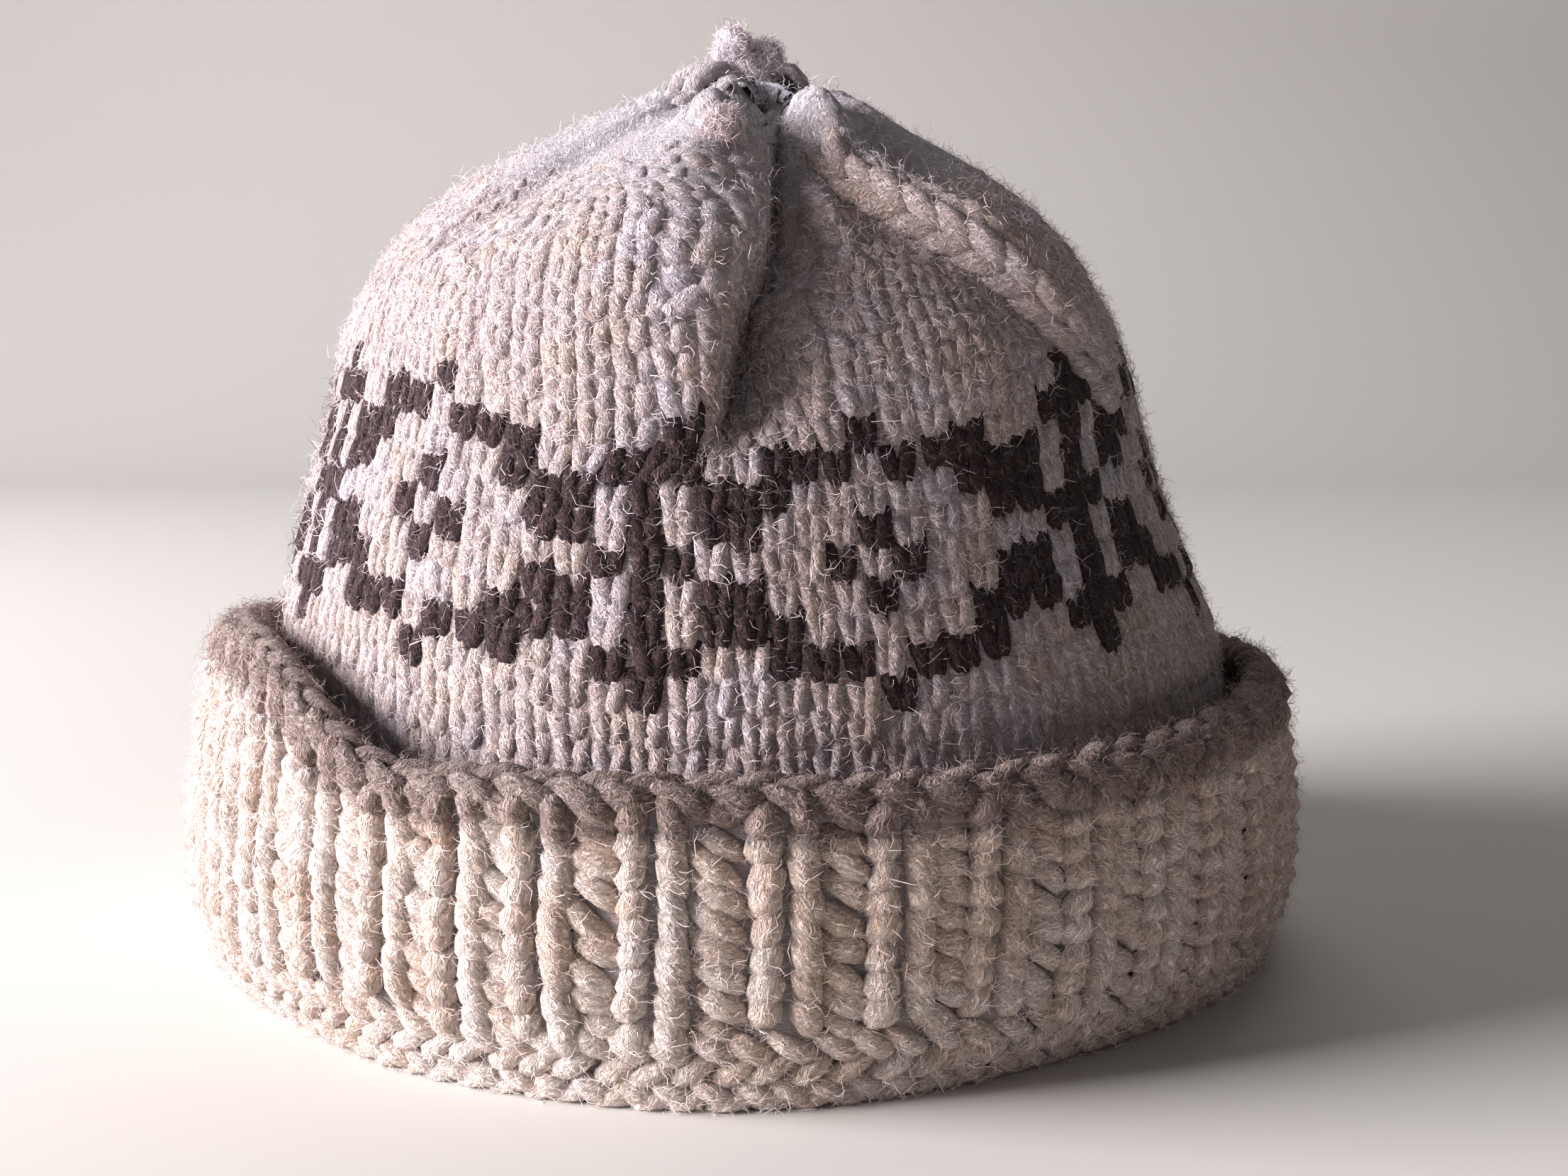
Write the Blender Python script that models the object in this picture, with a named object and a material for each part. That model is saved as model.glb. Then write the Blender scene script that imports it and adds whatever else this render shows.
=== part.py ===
# A thick hand-knitted wool hat that stands on its own turned-up, ribbed cuff.
# Metres, +Z up. The origin is on the surface it stands on, under the middle of the cuff.
# Angles go round the hat in degrees from the front (-Y), positive towards +X.

import math

import bmesh
import bpy

MM = 0.001

# Driving dimensions
CUFF_RADIUS = 112 * MM          # widest, a third of the way up the cuff
CUFF_WALL = 6.5 * MM            # thick ribbed knitting
CROWN_WALL = 5 * MM             # thick plain knitting
EDGE_HEIGHT = 8.5 * MM          # grey-brown rows at the rim
SEAM_HEIGHT = 12 * MM           # where the crown meets the cuff's fold
GAP = 0.3 * MM                  # between neighbouring solids

RIB_COUNT = 40                  # knit one, purl one on 80 stitches
RIB_DEPTH = 2.4 * MM
RIB_SAMPLES = 4                 # mesh columns to a rib
RIB_CROWDING = 3.3              # degrees that the ribs are drawn together
RIB_CROWDED_AT = -13            # angle about which they are
RIB_CROWDED_WIDTH = 13

CROWN_COLUMNS = 90              # mesh columns round the crown
CROWN_OUTER_RINGS = 18
CROWN_INNER_RINGS = 12

GATHER_X = 2.5 * MM             # middle of the gather at the top of the crown
GATHER_Y = -1.0 * MM
TOP_TILT = 0.10                 # the top of the crown dips this much towards the front

PLEAT_COUNT = 11
PLEAT_DEPTH = 1.6 * MM

TUFT_HEIGHT = 17 * MM
TUFT_RADIUS = 7.2 * MM
TUFT_LEAN = -2.0 * MM

# Sections of the crown from the seam to the gather: height, radius and how far the
# middle lies to the right of the cuff's middle, in millimetres.
CROWN_SECTIONS = (
    {"height": 12.3, "radius": 93.5, "shift": 2.0},
    {"height": 34.0, "radius": 95.5, "shift": 2.0},
    {"height": 60.0, "radius": 95.3, "shift": 1.8},
    {"height": 76.0, "radius": 91.3, "shift": 0.0},
    {"height": 92.0, "radius": 86.2, "shift": -1.4},
    {"height": 108.0, "radius": 81.4, "shift": -1.4},
    {"height": 124.0, "radius": 77.6, "shift": -1.7},
    {"height": 139.0, "radius": 71.2, "shift": -1.9},
    {"height": 148.0, "radius": 63.0, "shift": -1.6},
    {"height": 156.0, "radius": 51.0, "shift": -1.8},
    {"height": 162.0, "radius": 39.0, "shift": -1.4},
    {"height": 167.3, "radius": 26.5, "shift": 0.0},
    {"height": 170.5, "radius": 17.0, "shift": 1.6},
    {"height": 169.5, "radius": 10.8, "shift": 2.3},
    {"height": 164.0, "radius": 7.6, "shift": 2.5},
)

# Folds and welts of the crown. A fold runs from angle "low" where it starts to angle
# "top" at the gather, straight where "bend" is 1 and later where it is more. "start",
# "full" and "fade" are shares of the way from seam to gather: where it begins, is at its
# deepest and begins to lessen. "left" and "right" are its half widths in degrees, "depth"
# is in millimetres inward.
FOLD_COLUMNS = ("name", "low", "top", "bend", "start", "full", "fade", "left", "right", "depth")
CROWN_FOLDS = [
    dict(zip(FOLD_COLUMNS, row))
    for row in (
        ("front fold", -2.2, 24, 1.6, 0.445, 0.53, 0.62, 4.5, 10, 11.0),
        ("front crease", -4, 23, 1.6, 0.45, 0.50, 0.62, 3.0, 6.5, 8.0),
        ("left lobe", -13, -4, 1, 0.40, 0.66, 0.64, 18, 8, -5.0),
        ("right welt", 61, 16, 1, 0.50, 0.60, 0.70, 4, 10, -4.0),
        ("under the welt", 55, 10, 1, 0.49, 0.64, 0.78, 16, 3.5, 10.0),
        ("left crease", -48, -36, 1, 0.58, 0.78, 0.86, 5, 7, 2.5),
        ("left side fold", -84, -70, 1, 0.50, 0.74, 0.86, 9, 12, 4.0),
        ("right side fold", 92, 78, 1, 0.48, 0.72, 0.86, 12, 8, 6.0),
        ("back right fold", 138, 130, 1, 0.44, 0.68, 0.86, 13, 7, 10.0),
        ("back fold", 186, 181, 1, 0.50, 0.72, 0.86, 9, 13, 8.0),
        ("back left fold", 236, 228, 1, 0.42, 0.66, 0.86, 8, 13, 10.0),
    )
]

# Round knobs and hollows of the crown: angle, share of the way up, half sizes in degrees
# and as a share of the way, and height in millimetres.
KNOB_COLUMNS = ("name", "angle", "share", "wide", "tall", "height")
CROWN_KNOBS = [
    dict(zip(KNOB_COLUMNS, row))
    for row in (
        ("left knob", -5, 0.850, 9, 0.022, 5.0),
        ("above the left knob", -8, 0.895, 14, 0.016, -2.5),
        ("right mound", 37, 0.860, 19, 0.040, 5.0),
        ("hollow right of the fold", 18, 0.640, 16, 0.150, -8.5),
    )
]

# The cuff round the hat, in millimetres: height of its rim, how far the rim leans
# outward, and the outer radius of the flat underside of its fold.
CUFF_ROUND = (
    {"angle": -180, "rim": 57.0, "lean": -1.0, "floor": 105.0},
    {"angle": -150, "rim": 58.5, "lean": -2.0, "floor": 105.5},
    {"angle": -120, "rim": 62.5, "lean": -4.0, "floor": 106.5},
    {"angle": -95, "rim": 65.0, "lean": -5.5, "floor": 107.5},
    {"angle": -75, "rim": 68.0, "lean": -6.0, "floor": 106.5},
    {"angle": -58, "rim": 68.5, "lean": -5.0, "floor": 102.5},
    {"angle": -46, "rim": 63.0, "lean": -2.5, "floor": 101.5},
    {"angle": -34, "rim": 54.0, "lean": 0.5, "floor": 104.5},
    {"angle": -20, "rim": 54.2, "lean": 1.0, "floor": 106.0},
    {"angle": 0, "rim": 54.0, "lean": 0.5, "floor": 108.2},
    {"angle": 15, "rim": 53.6, "lean": 0.5, "floor": 104.2},
    {"angle": 32, "rim": 54.3, "lean": 0.5, "floor": 99.8},
    {"angle": 48, "rim": 55.5, "lean": 0.0, "floor": 100.2},
    {"angle": 65, "rim": 57.0, "lean": -1.0, "floor": 103.5},
    {"angle": 80, "rim": 58.0, "lean": -2.0, "floor": 106.5},
    {"angle": 100, "rim": 56.5, "lean": -2.0, "floor": 107.0},
    {"angle": 130, "rim": 55.5, "lean": -1.0, "floor": 105.5},
    {"angle": 180, "rim": 57.0, "lean": -1.0, "floor": 105.0},
)


def smooth_step(low, high, value):
    share = min(max((value - low) / (high - low), 0.0), 1.0)
    return share * share * (3 - 2 * share)


def angle_between(angle, middle):
    """Signed angle from middle to angle, the short way round."""
    return (angle - middle + 180) % 360 - 180


def soft_bump(angle, middle, width):
    return math.exp(-((angle_between(angle, middle) / width) ** 2))


def curve_through(values, places, place):
    """Smooth curve through values at rising places, read at one place."""
    last = len(places) - 2
    index = next((i for i in range(last) if place < places[i + 1]), last)

    def slope(i):
        before, after = max(i - 1, 0), min(i + 1, len(places) - 1)
        return (values[after] - values[before]) / (places[after] - places[before])

    step = places[index + 1] - places[index]
    share = (place - places[index]) / step
    rest = 1 - share
    return (
        values[index] * (1 + 2 * share) * rest**2
        + slope(index) * step * share * rest**2
        + values[index + 1] * (3 - 2 * share) * share**2
        - slope(index + 1) * step * rest * share**2
    )


class Profile:
    """The crown's sections, read by the share of the way from seam to gather."""

    def __init__(self, sections):
        self.height = [row["height"] * MM for row in sections]
        self.radius = [row["radius"] * MM for row in sections]
        self.shift = [row["shift"] * MM for row in sections]
        lengths = [0.0]
        for i in range(1, len(sections)):
            rise = self.height[i] - self.height[i - 1]
            inward = self.radius[i] - self.radius[i - 1]
            lengths.append(lengths[-1] + math.hypot(rise, inward))
        self.places = [length / lengths[-1] for length in lengths]

    def at(self, share):
        """Radius, height and shift of the section at this share."""
        return (
            curve_through(self.radius, self.places, share),
            curve_through(self.height, self.places, share),
            curve_through(self.shift, self.places, share),
        )

    def outward(self, share):
        """Outward direction there, as its radial and upward parts."""
        low, high = max(share - 0.01, 0.0), min(share + 0.01, 1.0)
        radius_low, height_low, _ = self.at(low)
        radius_high, height_high, _ = self.at(high)
        radial, upward = height_high - height_low, radius_low - radius_high
        size = math.hypot(radial, upward)
        radial, upward = radial / size, upward / size
        straighten = smooth_step(0.84, 0.94, share)
        radial, upward = radial * (1 - straighten), upward + straighten * (1 - upward)
        size = math.hypot(radial, upward)
        return radial / size, upward / size


PROFILE = Profile(CROWN_SECTIONS)


def fold_depth(angle, share):
    """How far the crown's folds press its surface inward here."""
    depth = 0.0
    for fold in CROWN_FOLDS:
        along = min(max((share - fold["start"]) / (1 - fold["start"]), 0.0), 1.0) ** fold["bend"]
        middle = fold["low"] + (fold["top"] - fold["low"]) * along
        offset = angle_between(angle, middle)
        width = fold["left"] if offset < 0 else fold["right"]
        strength = smooth_step(fold["start"], fold["full"], share)
        strength *= 1 - 0.65 * smooth_step(fold["fade"], 1.0, share)
        depth += fold["depth"] * MM * strength * math.exp(-((offset / width) ** 2))
    for knob in CROWN_KNOBS:
        across = soft_bump(angle, knob["angle"], knob["wide"])
        up = math.exp(-(((share - knob["share"]) / knob["tall"]) ** 2))
        depth -= knob["height"] * MM * across * up
    pleat = smooth_step(0.80, 0.90, share) * (1 - smooth_step(0.95, 1.0, share))
    depth += PLEAT_DEPTH * pleat * math.cos(math.radians(PLEAT_COUNT * (angle - 7)))
    return depth


def crown_point(angle, share, inset):
    """A point of the crown's wall, inset from its outer face."""
    radius, height, shift = PROFILE.at(share)
    radial, upward = PROFILE.outward(share)
    inward = fold_depth(angle, share) + inset
    radius -= inward * radial
    turn = math.radians(angle)
    x, y = radius * math.sin(turn), -radius * math.cos(turn)
    tilt = TOP_TILT * smooth_step(0.5, 0.8, share)
    to_gather = smooth_step(0.75, 1.0, share)
    return (
        x + shift,
        y + GATHER_Y * to_gather,
        height - inward * upward + tilt * y,
    )


def cuff_at(angle):
    """Rim height, rim lean and floor radius of the cuff at this angle."""
    turned = angle_between(angle, 0)
    places = [row["angle"] for row in CUFF_ROUND]
    columns = ([row[name] for row in CUFF_ROUND] for name in ("rim", "lean", "floor"))
    return [curve_through(column, places, turned) * MM for column in columns]


def rib_relief(angle):
    """0 in the groove between two ribs, 1 on a rib."""
    drawn = RIB_CROWDING * soft_bump(angle, RIB_CROWDED_AT, RIB_CROWDED_WIDTH)
    return 0.5 - 0.5 * math.cos(math.radians((angle + drawn - 0.5) * RIB_COUNT))


def ring_point(radius, angle, height):
    turn = math.radians(angle)
    return (radius * math.sin(turn), -radius * math.cos(turn), height)


def cuff_section(angle):
    """The U-shaped section of the cuff at this angle, as (radius, height) points."""
    relief = RIB_DEPTH * (rib_relief(angle) - 1)
    rim, lean, floor = cuff_at(angle)
    top = rim - EDGE_HEIGHT
    outer = CUFF_RADIUS
    inner = outer - CUFF_WALL - 0.5 * MM
    seam_radius, _, _ = PROFILE.at(0)
    toe = outer - floor
    return (
        (seam_radius, SEAM_HEIGHT),
        (seam_radius + 3 * MM, 8 * MM),
        (inner - 4 * MM, 7.5 * MM),
        (inner - 0.5 * MM, 13 * MM),
        (inner + 0.1 * lean - 0.3 * relief, 32 * MM),
        (inner + 0.6 * lean - 1 * MM, top),
        (outer + 0.6 * lean - 1.7 * MM + 0.6 * relief, top),
        (outer + 0.1 * lean + relief, 31 * MM),
        (outer - 0.12 * toe + relief, 14 * MM),
        (outer - 0.5 * toe + 0.5 * relief, 4.5 * MM),
        (floor, 0.0),
        (seam_radius - 1 * MM, 0.0),
        (seam_radius - CROWN_WALL + 0.5 * MM, 3.5 * MM),
        (seam_radius - CROWN_WALL, SEAM_HEIGHT),
    )


def edge_section(angle):
    """The section of the grey-brown edge, standing on the cuff."""
    rim, lean, _ = cuff_at(angle)
    bottom = rim - EDGE_HEIGHT + GAP
    outer = CUFF_RADIUS - 1.8 * MM
    inner = outer - CUFF_WALL + 0.3 * MM
    return (
        (inner + 0.6 * lean, bottom),
        (inner + 0.9 * lean - 0.4 * MM, rim - 3 * MM),
        (inner + lean + 1.6 * MM, rim),
        (outer + lean - 1.4 * MM, rim),
        (outer + 0.9 * lean + 0.9 * MM, rim - 3 * MM),
        (outer + 0.6 * lean - 0.4 * MM, bottom),
    )


def wool(name, colour, roughness):
    material = bpy.data.materials.new(name)
    material.use_nodes = True
    shader = material.node_tree.nodes["Principled BSDF"]
    shader.inputs["Base Color"].default_value = (*colour, 1)
    shader.inputs["Roughness"].default_value = roughness
    shader.inputs["Metallic"].default_value = 0
    material.diffuse_color = (*colour, 1)
    return material


def finish(name, mesh_data, material):
    """Makes the object, with faces outward and smooth."""
    bmesh.ops.recalc_face_normals(mesh_data, faces=mesh_data.faces)
    mesh = bpy.data.meshes.new(name)
    mesh_data.to_mesh(mesh)
    mesh_data.free()
    mesh.shade_smooth()
    mesh.materials.append(material)
    made = bpy.data.objects.new(name, mesh)
    bpy.context.scene.collection.objects.link(made)
    return made


def looped_solid(name, rings, material):
    """A closed tube round the hat: each ring is joined to the next, and the last to the first."""
    mesh_data = bmesh.new()
    loops = [[mesh_data.verts.new(point) for point in ring] for ring in rings]
    for here, there in zip(loops, loops[1:] + loops[:1]):
        for i in range(len(here)):
            after = (i + 1) % len(here)
            mesh_data.faces.new((here[i], here[after], there[after], there[i]))
    return finish(name, mesh_data, material)


def add_crown(material):
    step = 360 / CROWN_COLUMNS
    angles = [step * i for i in range(CROWN_COLUMNS)]
    outer = [i / (CROWN_OUTER_RINGS - 1) for i in range(CROWN_OUTER_RINGS)]
    inner = [1 - i / (CROWN_INNER_RINGS - 1) for i in range(CROWN_INNER_RINGS)]
    rings = [[crown_point(angle, share, 0) for angle in angles] for share in outer]
    rings += [[crown_point(angle, share, CROWN_WALL) for angle in angles] for share in inner]
    return looped_solid("crown", rings, material)


def add_band(name, section, columns, material):
    """A band round the hat with the given section."""
    angles = [360 * i / columns for i in range(columns)]
    sections = [section(angle) for angle in angles]
    rings = []
    for corner in range(len(sections[0])):
        points = zip(angles, (shape[corner] for shape in sections))
        rings.append([ring_point(radius, angle, height) for angle, (radius, height) in points])
    return looped_solid(name, rings, material)


def add_gather_yarn(material):
    """The yarn drawn round the top: a ridged knot in the crown's hole, under the tuft."""
    sides = 22
    rows = ((6.6, 152.5), (6.9, 160.0), (6.6, 165.0), (4.6, 167.6), (2.0, 168.2))
    mesh_data = bmesh.new()
    loops = []
    for radius, height in rows:
        loop = []
        for i in range(sides):
            ridge = 0.35 * (i % 2)
            x, y, z = ring_point((radius - ridge) * MM, 360 * i / sides, height * MM)
            loop.append(mesh_data.verts.new((x + GATHER_X, y + GATHER_Y, z)))
        loops.append(loop)
    for here, there in zip(loops, loops[1:]):
        for i in range(sides):
            after = (i + 1) % sides
            mesh_data.faces.new((here[i], here[after], there[after], there[i]))
    mesh_data.faces.new(loops[0][::-1])
    mesh_data.faces.new(loops[-1])
    return finish("gather_yarn", mesh_data, material)


def lock_directions(count):
    """Evenly spread directions for the tuft's locks, none of them straight down."""
    directions = []
    for i in range(count):
        upward = 1 - 1.55 * (i + 0.5) / count
        across = math.sqrt(1 - upward * upward)
        turn = i * math.pi * (3 - math.sqrt(5))
        directions.append((across * math.cos(turn), across * math.sin(turn), upward))
    return directions


def add_tuft(material):
    """A small head of wool whose locks stand out of it as soft lumps."""
    mesh_data = bmesh.new()
    bmesh.ops.create_icosphere(mesh_data, subdivisions=3, radius=1)
    locks = lock_directions(13)
    bottom = 168.5 * MM
    for vert in mesh_data.verts:
        direction = vert.co.normalized()
        lump = 0.0
        for lock in locks:
            facing = direction.x * lock[0] + direction.y * lock[1] + direction.z * lock[2]
            lump = max(lump, math.exp(-14 * (1 - facing)))
        reach = 0.80 + 0.26 * lump
        upward = direction.z * reach
        narrow = 0.72 + 0.28 * smooth_step(-1.0, 0.1, upward)
        height = max(bottom + (upward + 0.8) * TUFT_HEIGHT / 1.83, bottom)
        lean = TUFT_LEAN * (height - bottom) / TUFT_HEIGHT
        vert.co.x = GATHER_X + lean + direction.x * reach * narrow * TUFT_RADIUS
        vert.co.y = GATHER_Y + 1.0 * MM + direction.y * reach * narrow * TUFT_RADIUS
        vert.co.z = height
    return finish("tuft", mesh_data, material)


def main():
    for old in list(bpy.data.objects):
        bpy.data.objects.remove(old, do_unlink=True)
    cream = wool("cream_wool", (0.58, 0.47, 0.35), 0.95)
    heather = wool("heather_wool", (0.22, 0.16, 0.12), 0.95)
    pale = wool("pale_yarn", (0.62, 0.62, 0.64), 0.9)
    add_crown(cream)
    add_band("cuff", cuff_section, RIB_COUNT * RIB_SAMPLES, cream)
    add_band("cuff_edge", edge_section, RIB_COUNT * 2, heather)
    add_gather_yarn(pale)
    add_tuft(cream)


main()
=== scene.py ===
# Knit hat: the looks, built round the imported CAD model.
# Angles go round the hat in degrees from the front (-Y), positive towards +X. "Share" is the
# way up the crown from its seam (0) to its gather (1). Small lengths are in millimetres.
import math

import bpy
import numpy as np
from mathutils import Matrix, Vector


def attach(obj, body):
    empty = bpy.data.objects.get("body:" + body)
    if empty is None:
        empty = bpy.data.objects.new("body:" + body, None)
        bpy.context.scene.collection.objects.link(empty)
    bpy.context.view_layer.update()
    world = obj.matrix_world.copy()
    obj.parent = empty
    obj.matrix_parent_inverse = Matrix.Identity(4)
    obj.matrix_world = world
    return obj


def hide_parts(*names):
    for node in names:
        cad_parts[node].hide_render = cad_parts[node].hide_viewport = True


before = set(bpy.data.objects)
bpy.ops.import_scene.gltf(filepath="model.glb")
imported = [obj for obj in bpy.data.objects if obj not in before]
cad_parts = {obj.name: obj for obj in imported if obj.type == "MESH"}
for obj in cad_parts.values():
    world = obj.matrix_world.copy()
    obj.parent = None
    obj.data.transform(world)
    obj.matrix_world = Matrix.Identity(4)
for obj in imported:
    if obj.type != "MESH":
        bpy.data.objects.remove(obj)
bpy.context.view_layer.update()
bpy.ops.object.select_all(action="DESELECT")
print("frame loaded:", sorted(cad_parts))

mm = 0.001
draw = np.random.default_rng(4)


# Small mathematics, all of it on whole arrays

def smoothStep(low, high, value):
    share = np.clip((value - low) / (high - low), 0, 1)
    return share * share * (3 - 2 * share)


def mix(first, second, share):
    return first + (second - first) * share


def bell(*offsets):
    # 1 in the middle, about a third where an offset is 1
    return np.exp(-sum(offset**2 for offset in offsets))


def angleBetween(angle, middle):
    return (angle - middle + 180) % 360 - 180


def unit(vectors):
    return vectors / np.maximum(np.linalg.norm(vectors, axis=-1, keepdims=True), 1e-12)


def together(*values):
    # numbers and arrays of them, side by side on a new last axis
    return np.stack(np.broadcast_arrays(*values), -1)


def reachAlong(line):
    # how far along a line each of its points is
    return np.concatenate([[0], np.cumsum(np.linalg.norm(np.diff(line, axis=0), axis=1))])


def vary(low, high, count):
    # a random factor for each strand
    return draw.uniform(low, high, (count, 1))


def shake(size, count):
    # a small random offset for each strand
    return draw.normal(0, size, (count, 1))


def tableOf(columns, *rows):
    return [dict(zip(columns, row)) for row in rows]


def shapeOf(values):
    # a strand's shape, its lists made arrays: one number for each place along the strand
    return {name: np.array(value) if isinstance(value, list) else value for name, value in values.items()}


def curveThrough(values, places, place):
    # smooth curve through values at rising places, which may be other ones for each place it is read at
    values, places, place = (np.asarray(given, float) for given in (values, places, place))
    last = places.shape[-1] - 1
    i = np.clip((places <= place[..., None]).sum(-1) - 1, 0, last - 1)
    before = np.maximum(np.arange(last + 1) - 1, 0)
    after = np.minimum(np.arange(last + 1) + 1, last)
    slope = (values[..., after] - values[..., before]) / (places[..., after] - places[..., before])

    def pick(table, index):
        table = np.broadcast_to(table, (*index.shape, last + 1))
        return np.take_along_axis(table, index[..., None], -1)[..., 0]

    step = pick(places, i + 1) - pick(places, i)
    share = (place - pick(places, i)) / step
    rest = 1 - share
    start = pick(values, i) * (1 + 2 * share) * rest**2 + pick(slope, i) * step * share * rest**2
    end = pick(values, i + 1) * (3 - 2 * share) * share**2 - pick(slope, i + 1) * step * rest * share**2
    return start + end


noiseHash = np.array([374761393, 668265263, 2147483647])


def softNoise(points, size, seed):
    # value noise from -1 to 1, in lumps of this size
    spot = points / size + seed * 17.3
    cell = np.floor(spot).astype(np.int64)
    blend = spot - cell
    blend = blend * blend * (3 - 2 * blend)
    total = np.zeros(points.shape[:-1])
    for corner in range(8):
        step = np.array([corner & 1, corner >> 1 & 1, corner >> 2 & 1])
        code = (((cell + step) & 0xFFFFF) @ noiseHash + seed * 97) & 0xFFFFFFFF
        code = ((code ^ (code >> 13)) * 1274126177) & 0xFFFFFFFF
        value = ((code ^ (code >> 16)) & 0xFFFF) / 32767.5 - 1
        total += np.prod(np.where(step == 1, blend, 1 - blend), axis=-1) * value
    return total


def layeredNoise(points, *layers):
    # each layer has a size, a seed and a strength
    return sum(softNoise(points, size, seed) * strength for size, seed, strength in layers)


# The crown's form: the CAD's, with the edges of its front folds drawn finer

crownForm = {
    "height": [12.3, 34, 60, 76, 92, 108, 124, 139, 148, 156, 162, 167.3, 170.5, 169.5, 164],
    "radius": [93.5, 95.5, 95.3, 91.3, 86.2, 81.4, 77.6, 71.2, 63, 51, 39, 26.5, 17, 10.8, 7.6],
    "shift": [2, 2, 1.8, 0, -1.4, -1.4, -1.7, -1.9, -1.6, -1.8, -1.4, 0, 1.6, 2.3, 2.5],
    "gatherY": -1.0,
    "topTilt": 0.10,
    "wall": 5.0,
    "pleats": 11,
    "pleatsAt": 7,
    "pleatDepth": 1.6,
}
crownForm["places"] = reachAlong(np.stack([crownForm["height"], crownForm["radius"]], -1))
crownForm["places"] /= crownForm["places"][-1]

# A fold runs from the angle low to the angle top. It starts, is full and fades at these shares.
crownFolds = tableOf(
    ("name", "low", "top", "bend", "start", "full", "fade", "left", "right", "depth"),
    ("front fold", -2.2, 24, 1.6, 0.445, 0.53, 0.62, 2.5, 10, 11.0),
    ("front crease", -4, 23, 1.6, 0.45, 0.50, 0.62, 2, 6.5, 8.0),
    ("left lobe", -13, -4, 1, 0.40, 0.66, 0.64, 18, 8, -5.0),
    ("right welt", 60, 11, 1, 0.50, 0.60, 0.70, 2.6, 6, -3.2),
    ("under the welt", 57.5, 11, 1, 0.49, 0.62, 0.78, 15, 2.2, 7.0),
    ("behind the welt", 69, 26, 1, 0.50, 0.62, 0.80, 4, 8, 2.6),
    ("left crease", -48, -36, 1, 0.58, 0.78, 0.86, 5, 7, 2.5),
    ("left side fold", -84, -70, 1, 0.50, 0.74, 0.86, 9, 12, 4.0),
    ("right side fold", 92, 78, 1, 0.48, 0.72, 0.86, 12, 8, 6.0),
    ("back right fold", 138, 130, 1, 0.44, 0.68, 0.86, 13, 7, 10.0),
    ("back fold", 186, 181, 1, 0.50, 0.72, 0.86, 9, 13, 8.0),
    ("back left fold", 236, 228, 1, 0.42, 0.66, 0.86, 8, 13, 10.0),
)
crownKnobs = tableOf(
    ("name", "angle", "share", "wide", "tall", "height"),
    ("left knob", -5, 0.850, 9, 0.022, 5.0),
    ("above the left knob", -8, 0.895, 14, 0.016, -2.5),
    ("right mound", 37, 0.860, 19, 0.040, 5.0),
    ("hollow right of the fold", 18, 0.640, 16, 0.150, -6.5),
    ("mound by the gather", 30, 0.872, 13, 0.030, 2.2),
    ("cheek right of the fold", 20, 0.790, 8, 0.100, 4.5),
)
# the left lobe leans over the crease
lobeLean = {"at": -4.0, "width": 5.0, "shift": 4.4, "start": 0.42, "full": 0.47, "fade": 0.72, "gone": 0.88}


def crownCurve(name, share):
    return curveThrough(crownForm[name], crownForm["places"], share)


def outwardAt(share):
    # which way the wall faces, in its radial and upward parts; it is made to face up at the gather
    low, high = np.clip(share - 0.01, 0, 1), np.clip(share + 0.01, 0, 1)
    outward = unit(together(
        crownCurve("height", high) - crownCurve("height", low),
        crownCurve("radius", low) - crownCurve("radius", high)))
    return unit(mix(outward, np.array([0, 1]), smoothStep(0.84, 0.94, share)[..., None]))


def foldOffset(fold, angle, share):
    # degrees from the fold's line
    along = np.clip((share - fold["start"]) / (1 - fold["start"]), 0, 1) ** fold["bend"]
    return angleBetween(angle, mix(fold["low"], fold["top"], along))


def foldDepth(angle, share):
    depth = np.zeros(angle.shape)
    for fold in crownFolds:
        offset = foldOffset(fold, angle, share)
        width = np.where(offset < 0, fold["left"], fold["right"])
        strength = smoothStep(fold["start"], fold["full"], share)
        strength = strength * (1 - 0.65 * smoothStep(fold["fade"], 1, share))
        depth += fold["depth"] * strength * bell(offset / width)
    for knob in crownKnobs:
        aside = angleBetween(angle, knob["angle"]) / knob["wide"]
        depth -= knob["height"] * bell(aside, (share - knob["share"]) / knob["tall"])
    pleat = smoothStep(0.80, 0.90, share) * (1 - smoothStep(0.95, 1, share))
    wave = np.cos(np.radians(crownForm["pleats"] * (angle - crownForm["pleatsAt"])))
    return depth + crownForm["pleatDepth"] * pleat * wave


def leanOver(angle, share):
    crease = crownFolds[1]
    offset = foldOffset(crease, angle, share) - lobeLean["at"]
    strength = smoothStep(lobeLean["start"], lobeLean["full"], share)
    strength = strength * (1 - smoothStep(lobeLean["fade"], lobeLean["gone"], share))
    return angle + lobeLean["shift"] * strength * bell(offset / lobeLean["width"])


def crownPoint(angle, share, inset=0.0):
    angle, share = np.broadcast_arrays(np.asarray(angle, float), np.clip(share, 0.0, 1.0))
    outward = outwardAt(share)
    inward = foldDepth(angle, share) + inset
    radius = crownCurve("radius", share) - inward * outward[..., 0]
    turn = np.radians(leanOver(angle, share))
    x, y = radius * np.sin(turn), -radius * np.cos(turn)
    height = crownCurve("height", share) - inward * outward[..., 1]
    height = height + crownForm["topTilt"] * smoothStep(0.5, 0.8, share) * y
    y = y + crownForm["gatherY"] * smoothStep(0.75, 1, share)
    return together(x + crownCurve("shift", share), y, height) * mm


def normalOn(surface, angle, level, step):
    around = surface(angle + 0.5, level) - surface(angle - 0.5, level)
    up = surface(angle, level + step) - surface(angle, level - step)
    return unit(np.cross(around, up))


def crownNormal(angle, share):
    return normalOn(crownPoint, angle, share, 0.004)


# The cuff's form, as in the CAD

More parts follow.
